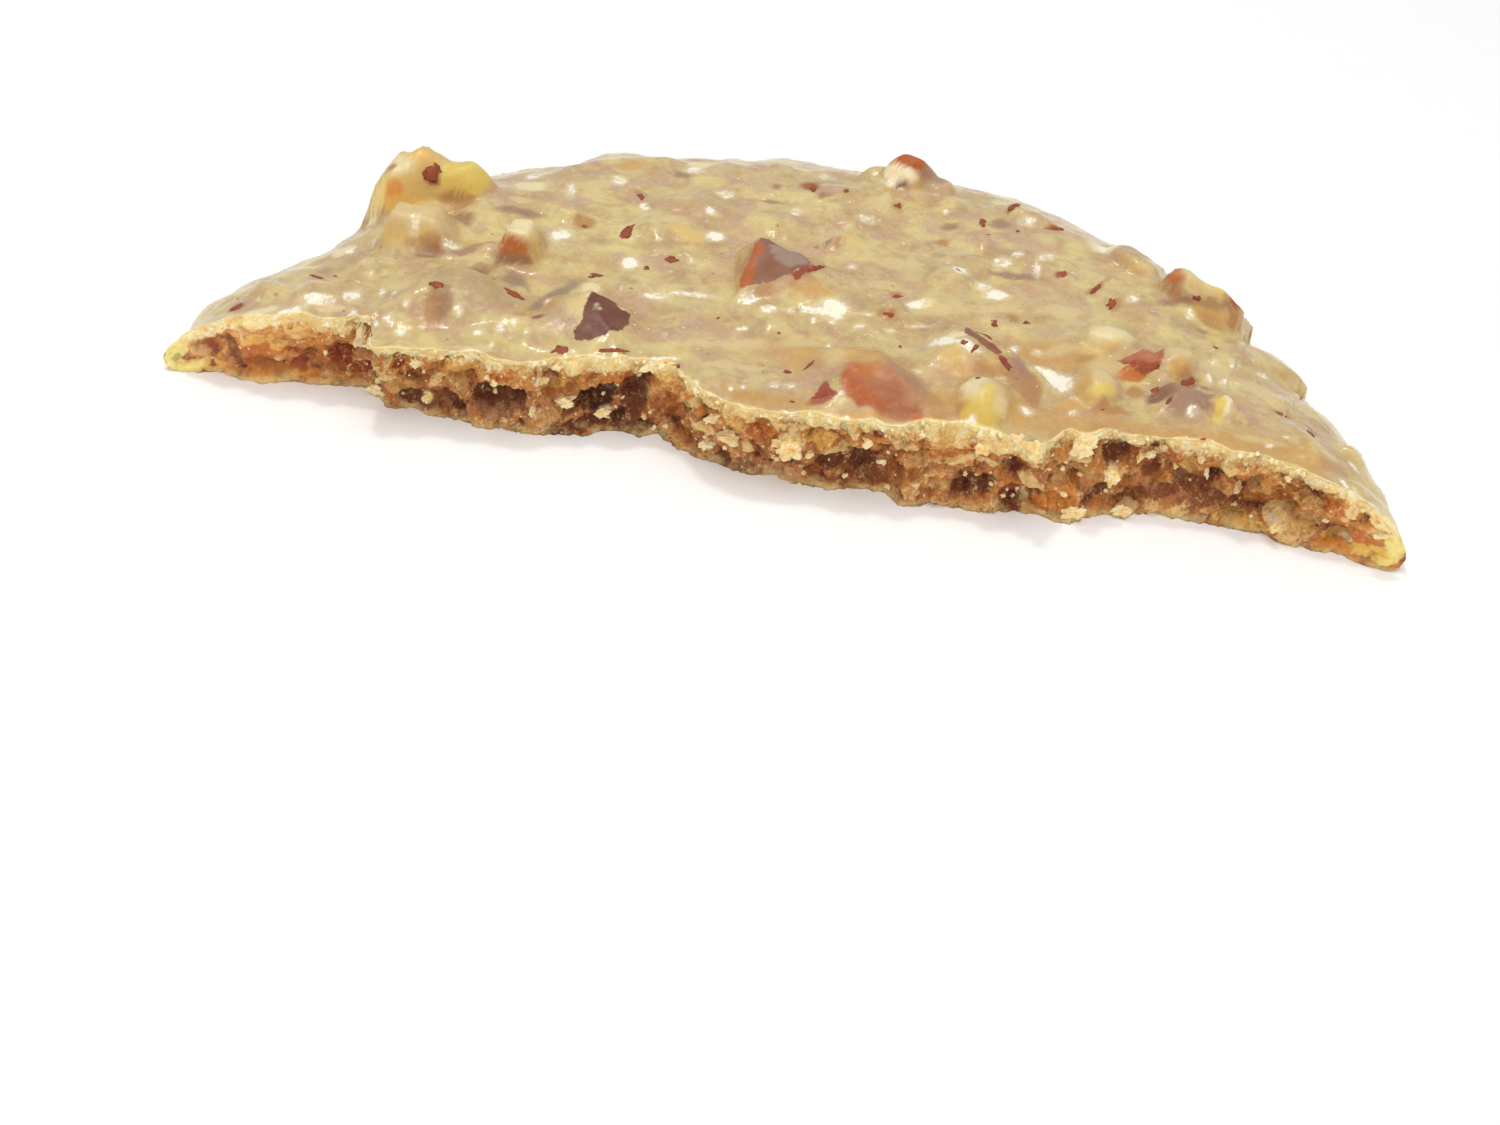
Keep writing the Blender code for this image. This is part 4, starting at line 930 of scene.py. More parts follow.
def rows_on_top(edge, way, distances):
    """Distances along a ray at which the rows stand evenly up and down the slopes of the top."""
    heights = np.array([top_height(*(edge + way * distance)) for distance in distances])
    steps = np.maximum(np.diff(distances), 1e-9)
    uphill = np.convolve(np.abs(np.diff(heights)) / steps, (0.25, 0.5, 0.25), "same")
    arc = np.concatenate([[0], np.cumsum(steps * np.hypot(1, np.minimum(uphill, STEEPEST)))])
    return np.interp(np.linspace(0, 1, TOP_ROWS + 1) * arc[-1], arc, distances)


def rows_on_nose(distances, inward):
    """Distances along a ray of the rows that go round the rim's nose, from its widest inwards."""
    nose_inward = min(NOSE_START + RIM_NOSE, inward[0])
    widest = math.acos(min(max(1 - (nose_inward - NOSE_START) / RIM_NOSE, 0.0), 1.0))
    turns = [widest * row / NOSE_ROWS for row in range(1, NOSE_ROWS + 1)]
    wanted = [NOSE_START + RIM_NOSE * (1 - math.cos(turn)) for turn in turns]
    return [np.interp(each, inward[::-1], distances[::-1]) for each in wanted]


def crumbled_share(distance):
    """How much of the crumbling reaches a distance from the broken face."""
    return max(1 - distance / BLEND_WIDTH, 0.0) ** 2


def section(x):
    """Points round one section, from the foot of the broken face, with what each one is.

    Each point is (x, y, z, how much of the crumbling it takes, height share on the broken face)."""
    z_top = SLAB_HEIGHT
    for _ in range(4):  # the height and the place of the edge depend on each other
        z_top = top_height(x, break_y(x, z_top))
    edge = Vector((x, break_y(x, z_top)))
    way = Vector((TIP_TILT * (x / ROUND_RADIUS) ** 3, 1.0)).normalized()
    z_low = low_height(edge.x, edge.y)
    points = []
    for row in range(WALL_ROWS):
        share = row / WALL_ROWS
        z = z_low + (z_top - z_low) * share
        points.append((x, break_y(x, z), z, 1.0, share))
    distances, inward = ray_to_rim(edge, way)
    for distance in rows_on_top(edge, way, distances):
        point = edge + way * distance
        points.append((*point, top_height(*point), crumbled_share(distance), 1.0))
    for distance in rows_on_nose(distances, inward):
        point = edge + way * distance
        points.append((*point, low_height(*point), crumbled_share(distance), 0.0))
    nose_end, foot = point, Vector((x, break_y(x, z_low)))
    long = distances[-1] > 3 * MM
    for row in range(1, UNDER_ROWS + 1):
        share = 1 - (1 - row / UNDER_ROWS) ** 1.3 if long else row / UNDER_ROWS
        point = nose_end.lerp(foot, share)
        z = z_low * share if z_low > 0 else 0.0
        points.append((*point, z, crumbled_share((point - foot).length), 0.0))
    return points


def cut_direction(x):
    """Which way the broken face looks in plan."""
    step = 0.8 * MM
    slope = (middle_of_break(x + step) - middle_of_break(x - step)) / (2 * step)
    return Vector((slope, -1.0, 0.0)).normalized()


def grains(place, size):
    """Broken grains: how far the one at a place stands out, from -1 to 1, with creases between."""
    near, points = noise.voronoi(place / size)
    crease = min((near[1] - near[0]) * 3.0, 1.0)
    return noise.noise(points[0] * 7.7) * 1.5 - 0.35 * (1 - crease)


def crumbling(x, y, z, share, tip):
    """How far the broken face stands out at a place in mm, and the colouring relief from -1 to 1."""
    place = Vector((x, y, z))
    inside = smooth_step(1.0, 0.90, share) * smooth_step(0.0, 0.08, share) * tip
    ledge = noise.noise(Vector((x / LEDGE_WIDTH, y / LEDGE_WIDTH, z / LEDGE_HEIGHT + 4.0)))
    lump = noise.noise(place / LUMP_SIZE + Vector((7, 3, 1)))
    warp = noise.noise_vector(place / GRAIN_WARP_SIZE) * GRAIN_WARP
    hollow = max(noise.noise(place / HOLLOW_SIZE + Vector((1, 9, 4))) - HOLLOW_START, 0.0)
    crumbs, relief = 0.0, 0.7 * ledge + 0.7 * lump
    for size, warped, shift, part, relief_part in GRAINS:
        grain = grains(place + warp * warped + Vector(shift), size)
        crumbs += part * grain
        relief += relief_part * grain
    out = (LEDGE_OUT * ledge + LUMP_OUT * lump) * (0.45 + 0.55 * inside)
    out += crumbs * (0.55 + 0.45 * inside) - HOLLOW_DEPTH * hollow * inside
    return out, relief - 2.6 * hollow


def feature_reach(feature, first, second):
    """How far out from the middle of an oval feature places lie, 1 at its edge. All in mm."""
    return np.hypot(*oval_shares(feature, first, second))


def stand_out(x, z):
    """How far the named features of the broken face stand out at arrays of places, all in mm."""
    out = np.zeros(len(x))
    for name, features in BREAK_PATCHES.items():
        for feature in features:
            reach = feature_reach(feature, x, z)
            out += STANDS_OUT[name] * min(feature[3], TALLEST) / (1 + reach**5)
    return out


def crumble(shape, layers, amount):
    """Moves the small cells of the broken face."""
    places = np.array([vertex.co for vertex in shape.verts]) / MM
    features = stand_out(places[:, 0], places[:, 2])
    for index, vertex in enumerate(shape.verts):
        taken = vertex[layers["taken"]]
        if taken <= 0:
            continue
        x, y, z = vertex.co
        share = vertex[layers["share"]]
        tip = smooth_step(*TIP_FADE, abs(x) / MM)
        out, relief = crumbling(x / MM, y / MM, z / MM, share, 0.3 + 0.7 * tip)
        calm = 1 - sum(less * smooth_step(start, end, x / MM) for start, end, less in CALM_ENDS)
        out = out * calm + features[index] * smooth_step(1.0, 0.93, share)
        sideways = noise.noise_vector(vertex.co / (SIDEWAYS_SIZE * MM)) * SIDEWAYS * MM
        strength = amount / USUAL_CRUMBLE
        resting = z < FOOT_CLEARANCE
        vertex.co += cut_direction(x) * out * MM * strength * taken + sideways * taken
        vertex.co.z = 0.0 if resting else max(vertex.co.z, FOOT_CLEARANCE)
        vertex[layers["relief"]] = relief + 0.5 * features[index]


def candy_shape(cell, amount):
    """The closed mesh of the half, in metres from the middle of the round."""
    sections = [section(x) for x in section_places(cell)]
    for end in (0, -1):
        sections[end] = [sections[end][0]] * len(sections[end])
    across, around = len(sections) - 1, len(sections[0]) - 1
    shape = bmesh.new()
    layers = {name: shape.verts.layers.float.new(name) for name in ("taken", "share", "relief", "fine")}
    bmesh.ops.create_grid(shape, x_segments=across, y_segments=around, size=0.5)
    last_wall = WALL_ROWS + FINE_TOP_ROWS
    for vertex in shape.verts:
        column = round((vertex.co.x + 0.5) * across)
        row = round((vertex.co.y + 0.5) * around)
        x, y, z, taken, share = sections[column][row]
        vertex.co = (x, y, z)
        vertex[layers["taken"]] = taken
        vertex[layers["share"]] = share
        vertex[layers["fine"]] = float(row <= last_wall or row >= around - FINE_UNDER_ROWS)
    bmesh.ops.remove_doubles(shape, verts=shape.verts, dist=SAME_PLACE)
    fine = [edge for edge in shape.edges if all(vertex[layers["fine"]] > 0.99 for vertex in edge.verts)]
    bmesh.ops.subdivide_edges(shape, edges=fine, cuts=1, use_grid_fill=True)
    crumble(shape, layers, amount)
    wide = [face for face in shape.faces if len(face.verts) > 4]
    bmesh.ops.triangulate(shape, faces=wide)
    bmesh.ops.recalc_face_normals(shape, faces=shape.faces)
    if any(len(edge.link_faces) != 2 for edge in shape.edges):
        raise RuntimeError("the candy isn't closed")
    return shape


# ---------------------------------------------------------------------------------------------
# What the vertices say about colour


PATCH_END = 1.3  # a patch's colour ends this far out from its middle, for 1 at its own edge
PATCH_FULL = 0.7
PATCH_FULL_ON_TOP = 0.4
NO_NUT = (0.5, 0.35, 0.2, 0.0)
NOT_BARE = -5.0  # mm, outside every bare face
CLEAR_LEFT, CLEAR_RIGHT = -33.5, 39.5  # x in mm where the break turns to clear candy
CLEAR_BLEND = 3.0
THIN_RIM = 3.2  # mm from the edge, where the candy isn't seen through any more


def side_of_outline(points, x, y):
    """Distance in mm from a point to a closed outline, above 0 inside it."""
    closed = list(points) + [points[0]]
    inside = False
    for (x0, y0), (x1, y1) in zip(closed, closed[1:]):
        if (y0 > y) != (y1 > y) and x < (x1 - x0) * (y - y0) / (y1 - y0) + x0:
            inside = not inside
    away = distance_to_line(closed, x, y)
    return away if inside else -away


def lay_over(under, reach, name, strength, full=PATCH_FULL):
    """Lays a tone over the colours and strengths at places, by how far out each place lies."""
    rise = np.clip((PATCH_END - reach) / (PATCH_END - full), 0, 1)
    share = strength * rise * rise * (3 - 2 * rise)
    total = share + under[:, 3] * (1 - share)
    ratio = np.where(total > 0, share / np.maximum(total, 1e-9), 0)[:, None]
    under[:, :3] = under[:, :3] * (1 - ratio) + np.array(TONES[name]) * ratio
    under[:, 3] = total


def lay_patches(groups, first, second, strength, full=PATCH_FULL):
    """Colours and strengths of the patches laid over each other, at arrays of places in mm."""
    laid = np.tile(np.array(NO_NUT), (len(first), 1))
    for name, features in groups.items():
        for feature in features:
            reach = feature_reach(feature, first, second)
            lay_over(laid, reach, name, SHEER.get(name, strength), full)
    return laid


def read_floats(mesh, name):
    """The values of a float attribute as an array."""
    values = np.zeros(len(mesh.vertices), np.float32)
    mesh.attributes[name].data.foreach_get("value", values)
    return values


def write_attribute(mesh, name, values):
    """Adds a float or colour attribute from an array."""
    kind, field = ("FLOAT_COLOR", "color") if values.ndim == 2 else ("FLOAT", "value")
    made = mesh.attributes.new(name, kind, "POINT")
    made.data.foreach_set(field, values.astype(np.float32).ravel())


def nuts_under_film(x, y, z):
    """Colours and strengths of the nuts under the film, at arrays of places in mm."""
    nut = lay_patches(TOP_PATCHES, x, y, 0.9, PATCH_FULL_ON_TOP)
    # Nut colour with painted light on the tops and painted shade lower down.
    for at_x, at_y, at_z, half_width, half_height, name, strength in SPOTS_WITH_PAINTED_LIGHT:
        reach = np.hypot(np.hypot(x - at_x, y - at_y) / half_width, (z - at_z) / half_height)
        lay_over(nut, reach, name, strength)
    nut[z < 0.3, 3] = 0.0
    return nut


def bare_faces(places, on_face):
    """How far inside a bare face of pecan each place in mm lies, and the colour of that face."""
    bare = np.full(len(places), NOT_BARE)
    bare_tone = np.ones((len(places), 4))
    for points, name in BARE:
        middle = np.mean(points, axis=0)
        reach = max(math.hypot(*(np.array(point) - middle)) for point in points) + 1.0
        near = np.flatnonzero((np.hypot(*(places[:, :2] - middle).T) < reach) & ~on_face)
        for index in near:
            inside = side_of_outline(points, places[index][0], places[index][1])
            if inside > min(bare[index], -0.1):
                bare[index] = max(bare[index], inside)
                bare_tone[index, :3] = TONES[name]
    return bare, bare_tone


def clear_candy(x, z):
    """Where the broken face is clear candy instead of grains, from 0 to 1, at places in mm."""
    left = np.clip((CLEAR_LEFT - x) / CLEAR_BLEND, 0, 0.7)
    clear = np.maximum(left, np.clip((x - CLEAR_RIGHT) / CLEAR_BLEND, 0, 0.6))
    for feature in BREAK_PATCHES["tip"]:
        clear = np.maximum(clear, np.clip(1.6 - feature_reach(feature, x, z), 0, 1))
    return clear


def bloom_glint_peak(y, width):
    """How thick the bloom and painted glint are in the middle of a patch. Wide ones are thickest, rear
    ones thin.
    """
    if width > 1.1 and y < 24:
        return 1.0
    return 0.84 if y < 13 else 0.78


def bloom_glint_at(x, y):
    """How thick the sugar bloom and painted glints are at arrays of places in mm, from 0 to 1."""
    glint_bloom = np.zeros(len(x))
    for feature in BLOOM_AND_GLINTS:
        thick = 1.6 - feature_reach(feature, x, y) * 0.8
        glint_bloom = np.maximum(glint_bloom, np.clip(thick, 0, bloom_glint_peak(feature[1], feature[3])))
    return glint_bloom


def colour_vertices(mesh):
    """Writes the attributes that the candy's material reads."""
    taken = read_floats(mesh, "taken")
    on_face = taken > 0.995
    places = np.array([vertex.co for vertex in mesh.vertices]) / MM
    coarse = np.array([noise.noise_vector(Vector(place) / 0.9) for place in places])
    close = np.array([noise.noise_vector(Vector(place) / 0.35) for place in places])
    nut = nuts_under_film(*(places + coarse * 0.3 + close * 0.1).T)
    x, _, z = (places + coarse * 0.22 + close * 0.2).T
    nut[on_face] = lay_patches(BREAK_PATCHES, x, z, 0.95)[on_face]
    bare, bare_tone = bare_faces(places, on_face)
    inward = [ROUND_RADIUS / MM - plain_reach(px * MM, py * MM) / MM for px, py, _ in places]
    attributes = {
        "nut": nut,
        "bare_tone": bare_tone,
        "bare": bare,
        "thin": np.clip((THIN_RIM - np.array(inward)) / 3.0, 0, 1),
        "cut": taken,
        "slope": 1 - np.array([vertex.normal.z for vertex in mesh.vertices]),
        "clear": clear_candy(x, z),
        "glint_bloom": bloom_glint_at(places[:, 0], places[:, 1]),
    }
    for name, values in attributes.items():
        write_attribute(mesh, name, values)


# ---------------------------------------------------------------------------------------------
# Shader maths


class Wire:
    """One output of a node. Arithmetic on wires adds Math nodes."""

    def __init__(self, paint, socket):
        self.paint = paint
        self.socket = socket

    def _maths(self, operation, first, second):
        return self.paint.add("ShaderNodeMath", {"operation": operation}, {0: first, 1: second})

    def __add__(self, other):
        return self._maths("ADD", self, other)

    def __sub__(self, other):
        return self._maths("SUBTRACT", self, other)

    def __mul__(self, other):
        return self._maths("MULTIPLY", self, other)

    def __truediv__(self, other):
        return self._maths("DIVIDE", self, other)

    def __rsub__(self, other):
        return self._maths("SUBTRACT", other, self)

    def __rtruediv__(self, other):
        return self._maths("DIVIDE", other, self)

    __radd__ = __add__
    __rmul__ = __mul__

    def above(self, limit):
        return self._maths("GREATER_THAN", self, limit)

    def at_most(self, limit):
        return self._maths("MINIMUM", self, limit)

    def at_least(self, limit):
        return self._maths("MAXIMUM", self, limit)


class Paint:
    """A material whose nodes are added from Python expressions."""

    def __init__(self, name):
        self.material = bpy.data.materials.new(name)
        self.material.use_nodes = True
        self.nodes = self.material.node_tree.nodes
        self.links = self.material.node_tree.links
        self.shader = self.nodes["Principled BSDF"]
        coordinates = self.nodes.new("ShaderNodeTexCoord")
        self.mm = self.add(
            "ShaderNodeVectorMath",
            {"operation": "SCALE"},
            {0: Wire(self, coordinates.outputs["Object"]), "Scale": 1 / MM},
            "Vector",
        )

    def add(self, kind, settings, values, output=0):
        """A node of a type, with its settings, then the values or links of its sockets."""
        node = self.nodes.new(kind)
        for name, setting in settings.items():
            setattr(node, name, setting)
        for name, value in values.items():
            if isinstance(value, Wire):
                self.links.new(value.socket, node.inputs[name])
            else:
                node.inputs[name].default_value = value
        return Wire(self, node.outputs[output])

    def step(self, value, low, high, start=0.0, end=1.0):
        """A smooth rise from start at low to end at high."""
        ends = {"Value": value, "From Min": low, "From Max": high, "To Min": start, "To Max": end}
        return self.add("ShaderNodeMapRange", {"interpolation_type": "SMOOTHSTEP"}, ends)

    def place(self, shift, scale):
        """The place in mm, scaled and shifted."""
        values = {"Vector": self.mm, "Location": shift, "Scale": scale}
        return self.add("ShaderNodeMapping", {}, values)

    def clouds(self, size, detail=3.0, rough=0.6, stretch=(1, 1, 1), seed=0.0):
        """Soft noise from 0 to 1 with bumps of a size in mm, stretched along the axes."""
        scale = tuple(1 / (size * part) for part in stretch)
        place = self.place((seed * 17.3, seed * 5.1, seed * 9.7), scale)
        values = {"Vector": place, "Scale": 1.0, "Detail": detail, "Roughness": rough}
        return self.add("ShaderNodeTexNoise", {}, values)

    def cells(self, size, output="Distance", seed=0.0):
        """Random cells of a size in mm: the distance to each cell's middle, or its colour."""
        place = self.place((seed * 3.7, seed * 8.3, seed * 6.1), (1 / size,) * 3)
        values = {"Vector": place, "Scale": 1.0}
        return self.add("ShaderNodeTexVoronoi", {"feature": "F1"}, values, output)

    def value_of(self, colour, part):
        """One channel of a colour."""
        return self.add("ShaderNodeSeparateColor", {}, {"Color": colour}, part)

    def attribute(self, name, output="Fac"):
        """An attribute of the mesh."""
        return self.add("ShaderNodeAttribute", {"attribute_name": name}, {}, output)

    def mix(self, share, first, second, blend="MIX"):
        """Second laid over first by a share. Colours are wires or linear triples."""
        settings = {"data_type": "RGBA", "blend_type": blend}
        colours = [c if isinstance(c, Wire) else (*c[:3], 1.0) for c in (first, second)]
        values = {"Factor": share, 6: colours[0], 7: colours[1]}
        return self.add("ShaderNodeMix", settings, values, 2)

    def dots(self, size, radius, share, seed):
        """Round spots, one in some of the cells: 1 inside a spot and 0 outside."""
        colour = self.cells(size, "Color", seed)
        spread = (self.value_of(colour, "Green") * 0.6 + 0.4) * (radius / size)
        spot = self.step(self.cells(size, "Distance", seed) / spread, 1.15, 0.6)
        return spot * self.value_of(colour, "Red").above(1 - share)

    def bump(self, height, strength, distance, under=None):
        """A normal from a height in mm."""
        values = {"Height": height, "Strength": strength, "Distance": distance}
        if under:
            values["Normal"] = under
        return self.add("ShaderNodeBump", {}, values, "Normal")

    def set(self, name, value):
        """Gives the shader a value or a link."""
        if isinstance(value, Wire):
            self.links.new(value.socket, self.shader.inputs[name])
        else:
            self.shader.inputs[name].default_value = value

    def glow(self, weight, radius, scale):
        """Lets light pass a little way through."""
        self.set("Subsurface Weight", weight)
        self.set("Subsurface Radius", radius)
        self.set("Subsurface Scale", scale)

    def grained(self, grain, smoothest, spread, height):
        """The material, with a roughness and bumps in mm that follow a grain."""
        self.set("Roughness", smoothest + grain * spread)
        self.set("Normal", self.bump(grain * height, 1.0, MM))
        return self.material


# ---------------------------------------------------------------------------------------------
# Materials

PORE_SPACING = 1.9  # mm


def film_colour(paint, colours, edge):
    """Colour and roughness of the top, with where nuts lie under the film and where they are bare."""
    nut_share = paint.attribute("nut", "Alpha")
    thin = paint.attribute("thin")
    mottle = paint.clouds(1.9, seed=2)
    broad = paint.clouds(5.0, 2.0, 0.5, seed=1)
    film = paint.mix(paint.step(broad, 0.38, 0.62), colours.candy_yellow, colours.candy_tan)
    film = paint.mix(paint.step(mottle, 0.48, 0.68) * 0.48, film, colours.candy_grey)
    for size, rough, seed, begin, full, strength, cloud_tone in FILM_CLOUDS:
        cloud = paint.step(paint.clouds(size, 3.0, rough, seed=seed), begin, full)
        film = paint.mix(cloud * strength, film, cloud_tone)
    film = paint.mix(thin * 0.5, film, TONES["thin_rim"])

    wobble = paint.clouds(0.8, seed=5) - 0.5
    under = paint.step(nut_share + wobble * 0.5, 0.04, 0.76)
    film = paint.mix(under * 0.9, film, paint.attribute("nut", "Color"))
    # Painted shade: the steep sides of the top are darkened and warmed.
    steep = paint.step(paint.attribute("slope") + wobble * 0.12, 0.08, 0.50) * (1 - thin)
    film = paint.mix(steep * (0.6 - under * 0.25), film, STEEP_PAINTED_SHADE, "MULTIPLY")

    bare = paint.step(paint.attribute("bare") + edge * 0.7, -0.06, 0.08)
    bare_tone = paint.attribute("bare_tone", "Color")
    skin = paint.mix(paint.step(mottle, 0.3, 0.7, 0.0, 0.22), bare_tone, TONES["mauve_film"])
    film = paint.mix(bare * 0.94, film, skin)

    fine = paint.clouds(0.42, 3.0, 0.65, seed=19)
    film = paint.mix(paint.step(fine, 0.5, 0.72) * 0.13, film, TONES["film_grit"])
    glint = paint.step(fine, 0.48, 0.3) * (0.19 - bare * 0.15) * (1 - under * 0.5)
    film = paint.mix(glint, film, TONES["film_glint"])
    film = paint.mix(paint.dots(1.7, 0.26, 0.30, 7) * 0.5, film, TONES["brown_film"])
    return film, 0.14 + mottle * 0.14 + under * 0.16 + bare * 0.2, under, bare


def add_bloom(paint, film, under, bare):
    """Colour of the film with sugar bloom and painted glints, a painted haze, specks, ringed pores with
    painted shade, and its height in mm.
    """
    clear = (1 - under * 0.55) * (1 - bare * 0.8)
    ragged = paint.clouds(0.55, seed=9) - 0.5
    glint_bloom = paint.attribute("glint_bloom")
    # The listed patches: sugar bloom and painted glints.
    named = paint.step(glint_bloom + ragged * 1.2, 0.62, 0.92)
    # A painted haze round the listed patches.
    glint_haze = paint.step(glint_bloom + ragged * 0.7, 0.1, 0.7) * 0.3
    pale_where = paint.step(paint.clouds(7.0, 2.0, 0.5, seed=8), 0.36, 0.58, 0.1, 0.8) * clear
    blotch = paint.step(paint.clouds(0.75, 2.0, 0.5, seed=21) + pale_where * 0.06, 0.69, 0.84)
    specks = paint.dots(1.1, 0.15, 0.35, 10) * pale_where
    white = (blotch * 0.55 * clear + specks * 0.8).at_most(0.85).at_least(named * 0.92)
    away = paint.cells(PORE_SPACING, "Distance", 16) * PORE_SPACING
    lucky = paint.value_of(paint.cells(PORE_SPACING, "Color", 16), "Red").above(0.8) * clear
    rings = paint.step(away, 0.24, 0.12)
    pores = paint.step(away, 0.075, 0.045)
    film = paint.mix(glint_haze, film, TONES["glint_haze"])
    film = paint.mix(white, film, TONES["bloom"])
    film = paint.mix(rings * lucky * 0.45, film, TONES["ring"])
    # Painted shade in the pinholes: their middles are brown.
    film = paint.mix(pores * lucky * 0.8, film, TONES["brown_film"])
    ripple = paint.clouds(0.7, 3.0, 0.5, seed=14) * 0.05 + specks * 0.04 + rings * lucky * 0.03
    return film, ripple


def face_colour(paint, colours, gritty):
    """Colour of the broken face and its height in mm: grains, cracks and the nuts cut through."""
    nut = paint.attribute("nut", "Color")
    cloudy = 1 - paint.attribute("clear") * 0.85
    height = paint.attribute("share") + (paint.clouds(1.6, 2.0, 0.5, seed=17) - 0.5) * 0.9
    upper = paint.step(height, 0.35, 0.75)
    depth = paint.attribute("relief") * 0.6 + (gritty - 0.5) * 1.1
    # Painted shade where the face lies deep; the lower part is darker too, partly its own colour,
    # partly painted shade.
    low_deep = paint.mix(upper, TONES["dark"], colours.break_deep_shade)
    low_mid = paint.mix(upper, TONES["low_break"], colours.break_mid)
    face = paint.mix(paint.step(depth, -0.75, -0.15), low_deep, low_mid)
    warm = paint.step(paint.clouds(1.6, seed=12), 0.42, 0.62)
    face = paint.mix(warm * 0.6, face, TONES["orange"])
    crisp = paint.step(paint.attribute("nut", "Alpha") + (gritty - 0.5) * 0.5, 0.20, 0.60)
    # Pale sugar and painted light where the grains stand proud.
    face = paint.mix(paint.step(depth, 0.0, 0.55, 0.0, 0.85), face, colours.break_pale_and_lit)
    face = paint.mix(crisp * 0.88, face, nut)
    # Painted shade in the cracks.
    crack = paint.step(depth, -0.95, -0.25, 1.0, 0.0)
    face = paint.mix(crack * crisp * 0.45, face, colours.break_deep_shade)
    # More painted light on proud grains where nuts are cut through.
    face = paint.mix(paint.step(depth, 0.15, 0.65, 0.0, 0.4) * crisp, face, colours.break_pale_and_lit)
    face = paint.mix(0.6 * cloudy, face, FACE_SHADE, "MULTIPLY")

    grain = paint.clouds(0.26, 2.0, 0.6, seed=22)
    lumps = paint.clouds(0.7, 3.0, 0.7, seed=23)
    shade = (grain - 0.5) * 1.2 + (lumps - 0.5) * 1.8
    # Painted shade in crevices and painted light on proud grains, laid out by noise.
    crevice = paint.step(shade, -0.05, -0.5) * 0.65 * cloudy
    face = paint.mix(crevice, face, CREVICE_PAINTED_SHADE, "MULTIPLY")
    proud = paint.step(depth, -0.5, 0.1, 0.3, 1.0)
    lit = paint.step(shade, 0.06, 0.45) * 0.66 * cloudy * proud
    face = paint.mix(lit, face, TONES["painted_lit_grain"])
    sugar = paint.dots(0.6, 0.13, 0.25, 13) * proud
    face = paint.mix(sugar * 0.7, face, TONES["sugar"])
    rubble = gritty * 0.26 + grain * 0.16 + paint.cells(0.28, "Distance", 15) * 0.10
    return face, rubble, cloudy


def lighten_edges(paint, colour, cut, gritty):
    """Colour with the pale foot and the pale upper lip of the broken face, with painted glints in the
    lip.
    """
    share = paint.attribute("share")
    patchy = paint.step(paint.clouds(1.5, seed=20), 0.36, 0.6)
    near_top = paint.step(share + (gritty - 0.5) * 0.3, 0.76, 0.92) * paint.step(cut, 0.1, 0.5)
    near_foot = paint.step(share + (gritty - 0.5) * 0.10, 0.11, 0.03) * paint.step(cut, 0.5, 0.9)
    colour = paint.mix(near_foot * patchy * 0.7, colour, TONES["foot"])
    colour = paint.mix(near_top * (patchy * 0.25 + 0.68), colour, TONES["lip"])
    # Pale sugar grains and painted glints along the lip.
    sugar_glint_share = near_top * paint.step(gritty + patchy * 0.1, 0.56, 0.68) * 0.8
    return paint.mix(sugar_glint_share, colour, TONES["lip_sugar_glint"])


def candy_material(colours):
    """Film of candy with nuts under it, bare pecan skin, and the grainy broken face."""
    paint = Paint("praline_candy")
    cut = paint.attribute("cut")
    edge = paint.clouds(0.7, 3.0, 0.65, seed=6) - 0.5
    gritty = paint.clouds(0.4, 4.0, 0.7, seed=11)
    film, film_roughness, under, bare = film_colour(paint, colours, edge)
    film, ripple = add_bloom(paint, film, under, bare)
    face, rubble, cloudy = face_colour(paint, colours, gritty)
    colour = paint.mix(paint.step(cut + edge * 0.25, 0.5, 0.9), film, face)
    paint.set("Base Color", lighten_edges(paint, colour, cut, gritty))

    is_face = paint.step(cut, 0.5, 0.9)
    paint.set("Roughness", film_roughness * (1 - is_face) + is_face * 0.62)
    paint.set("Specular IOR Level", 0.4)
    paint.glow(0.4, (1.0, 0.5, 0.22), 0.8 * MM)
    on_top = paint.bump(ripple * (1 - is_face), 1.0, MM)
    paint.set("Normal", paint.bump(rubble * is_face * cloudy, 1.0, MM, on_top))
    return paint.material


def crumb_material(colours):
    """Grains and crumbs of cooked sugar, pale with tan sides."""
    paint = Paint("praline_crumb")
    patch = paint.clouds(1.6, seed=1)
    grain = paint.clouds(0.25, seed=2)
    colour = paint.mix(paint.step(patch, 0.42, 0.66), colours.crumb, TONES["crumb_side"])
    colour = paint.mix(paint.step(grain, 0.45, 0.75, 0.0, 0.4), colour, TONES["orange"])
    paint.set("Base Color", colour)
    paint.glow(0.3, (1.0, 0.6, 0.3), 0.5 * MM)
    return paint.grained(grain, 0.42, 0.3, 0.08)


def edge_material(colours):
    """The palest crumbs, along the top edge of the break."""
    paint = Paint("praline_edge_crumb")
    patch = paint.step(paint.clouds(1.1, seed=3), 0.4, 0.65)
    paint.set("Base Color", paint.mix(patch, TONES["edge_crumb"], colours.crumb))
    return paint.grained(paint.clouds(0.2, seed=4), 0.45, 0.3, 0.05)


def fleck_material(colours):
    """Papery red-brown skin of the pecan, with darker veins."""
    paint = Paint("praline_pecan_skin")
    patch = paint.clouds(1.3, seed=5)
    vein = paint.clouds(0.3, stretch=(2.5, 1, 1), seed=6)
    colour = paint.mix(paint.step(patch, 0.35, 0.65), colours.fleck, TONES["red_film"])
    colour = paint.mix(paint.step(vein, 0.4, 0.7, 0.0, 0.5), colour, TONES["facet_skin"])
    paint.set("Base Color", colour)
    return paint.grained(vein, 0.5, 0.25, 0.05)


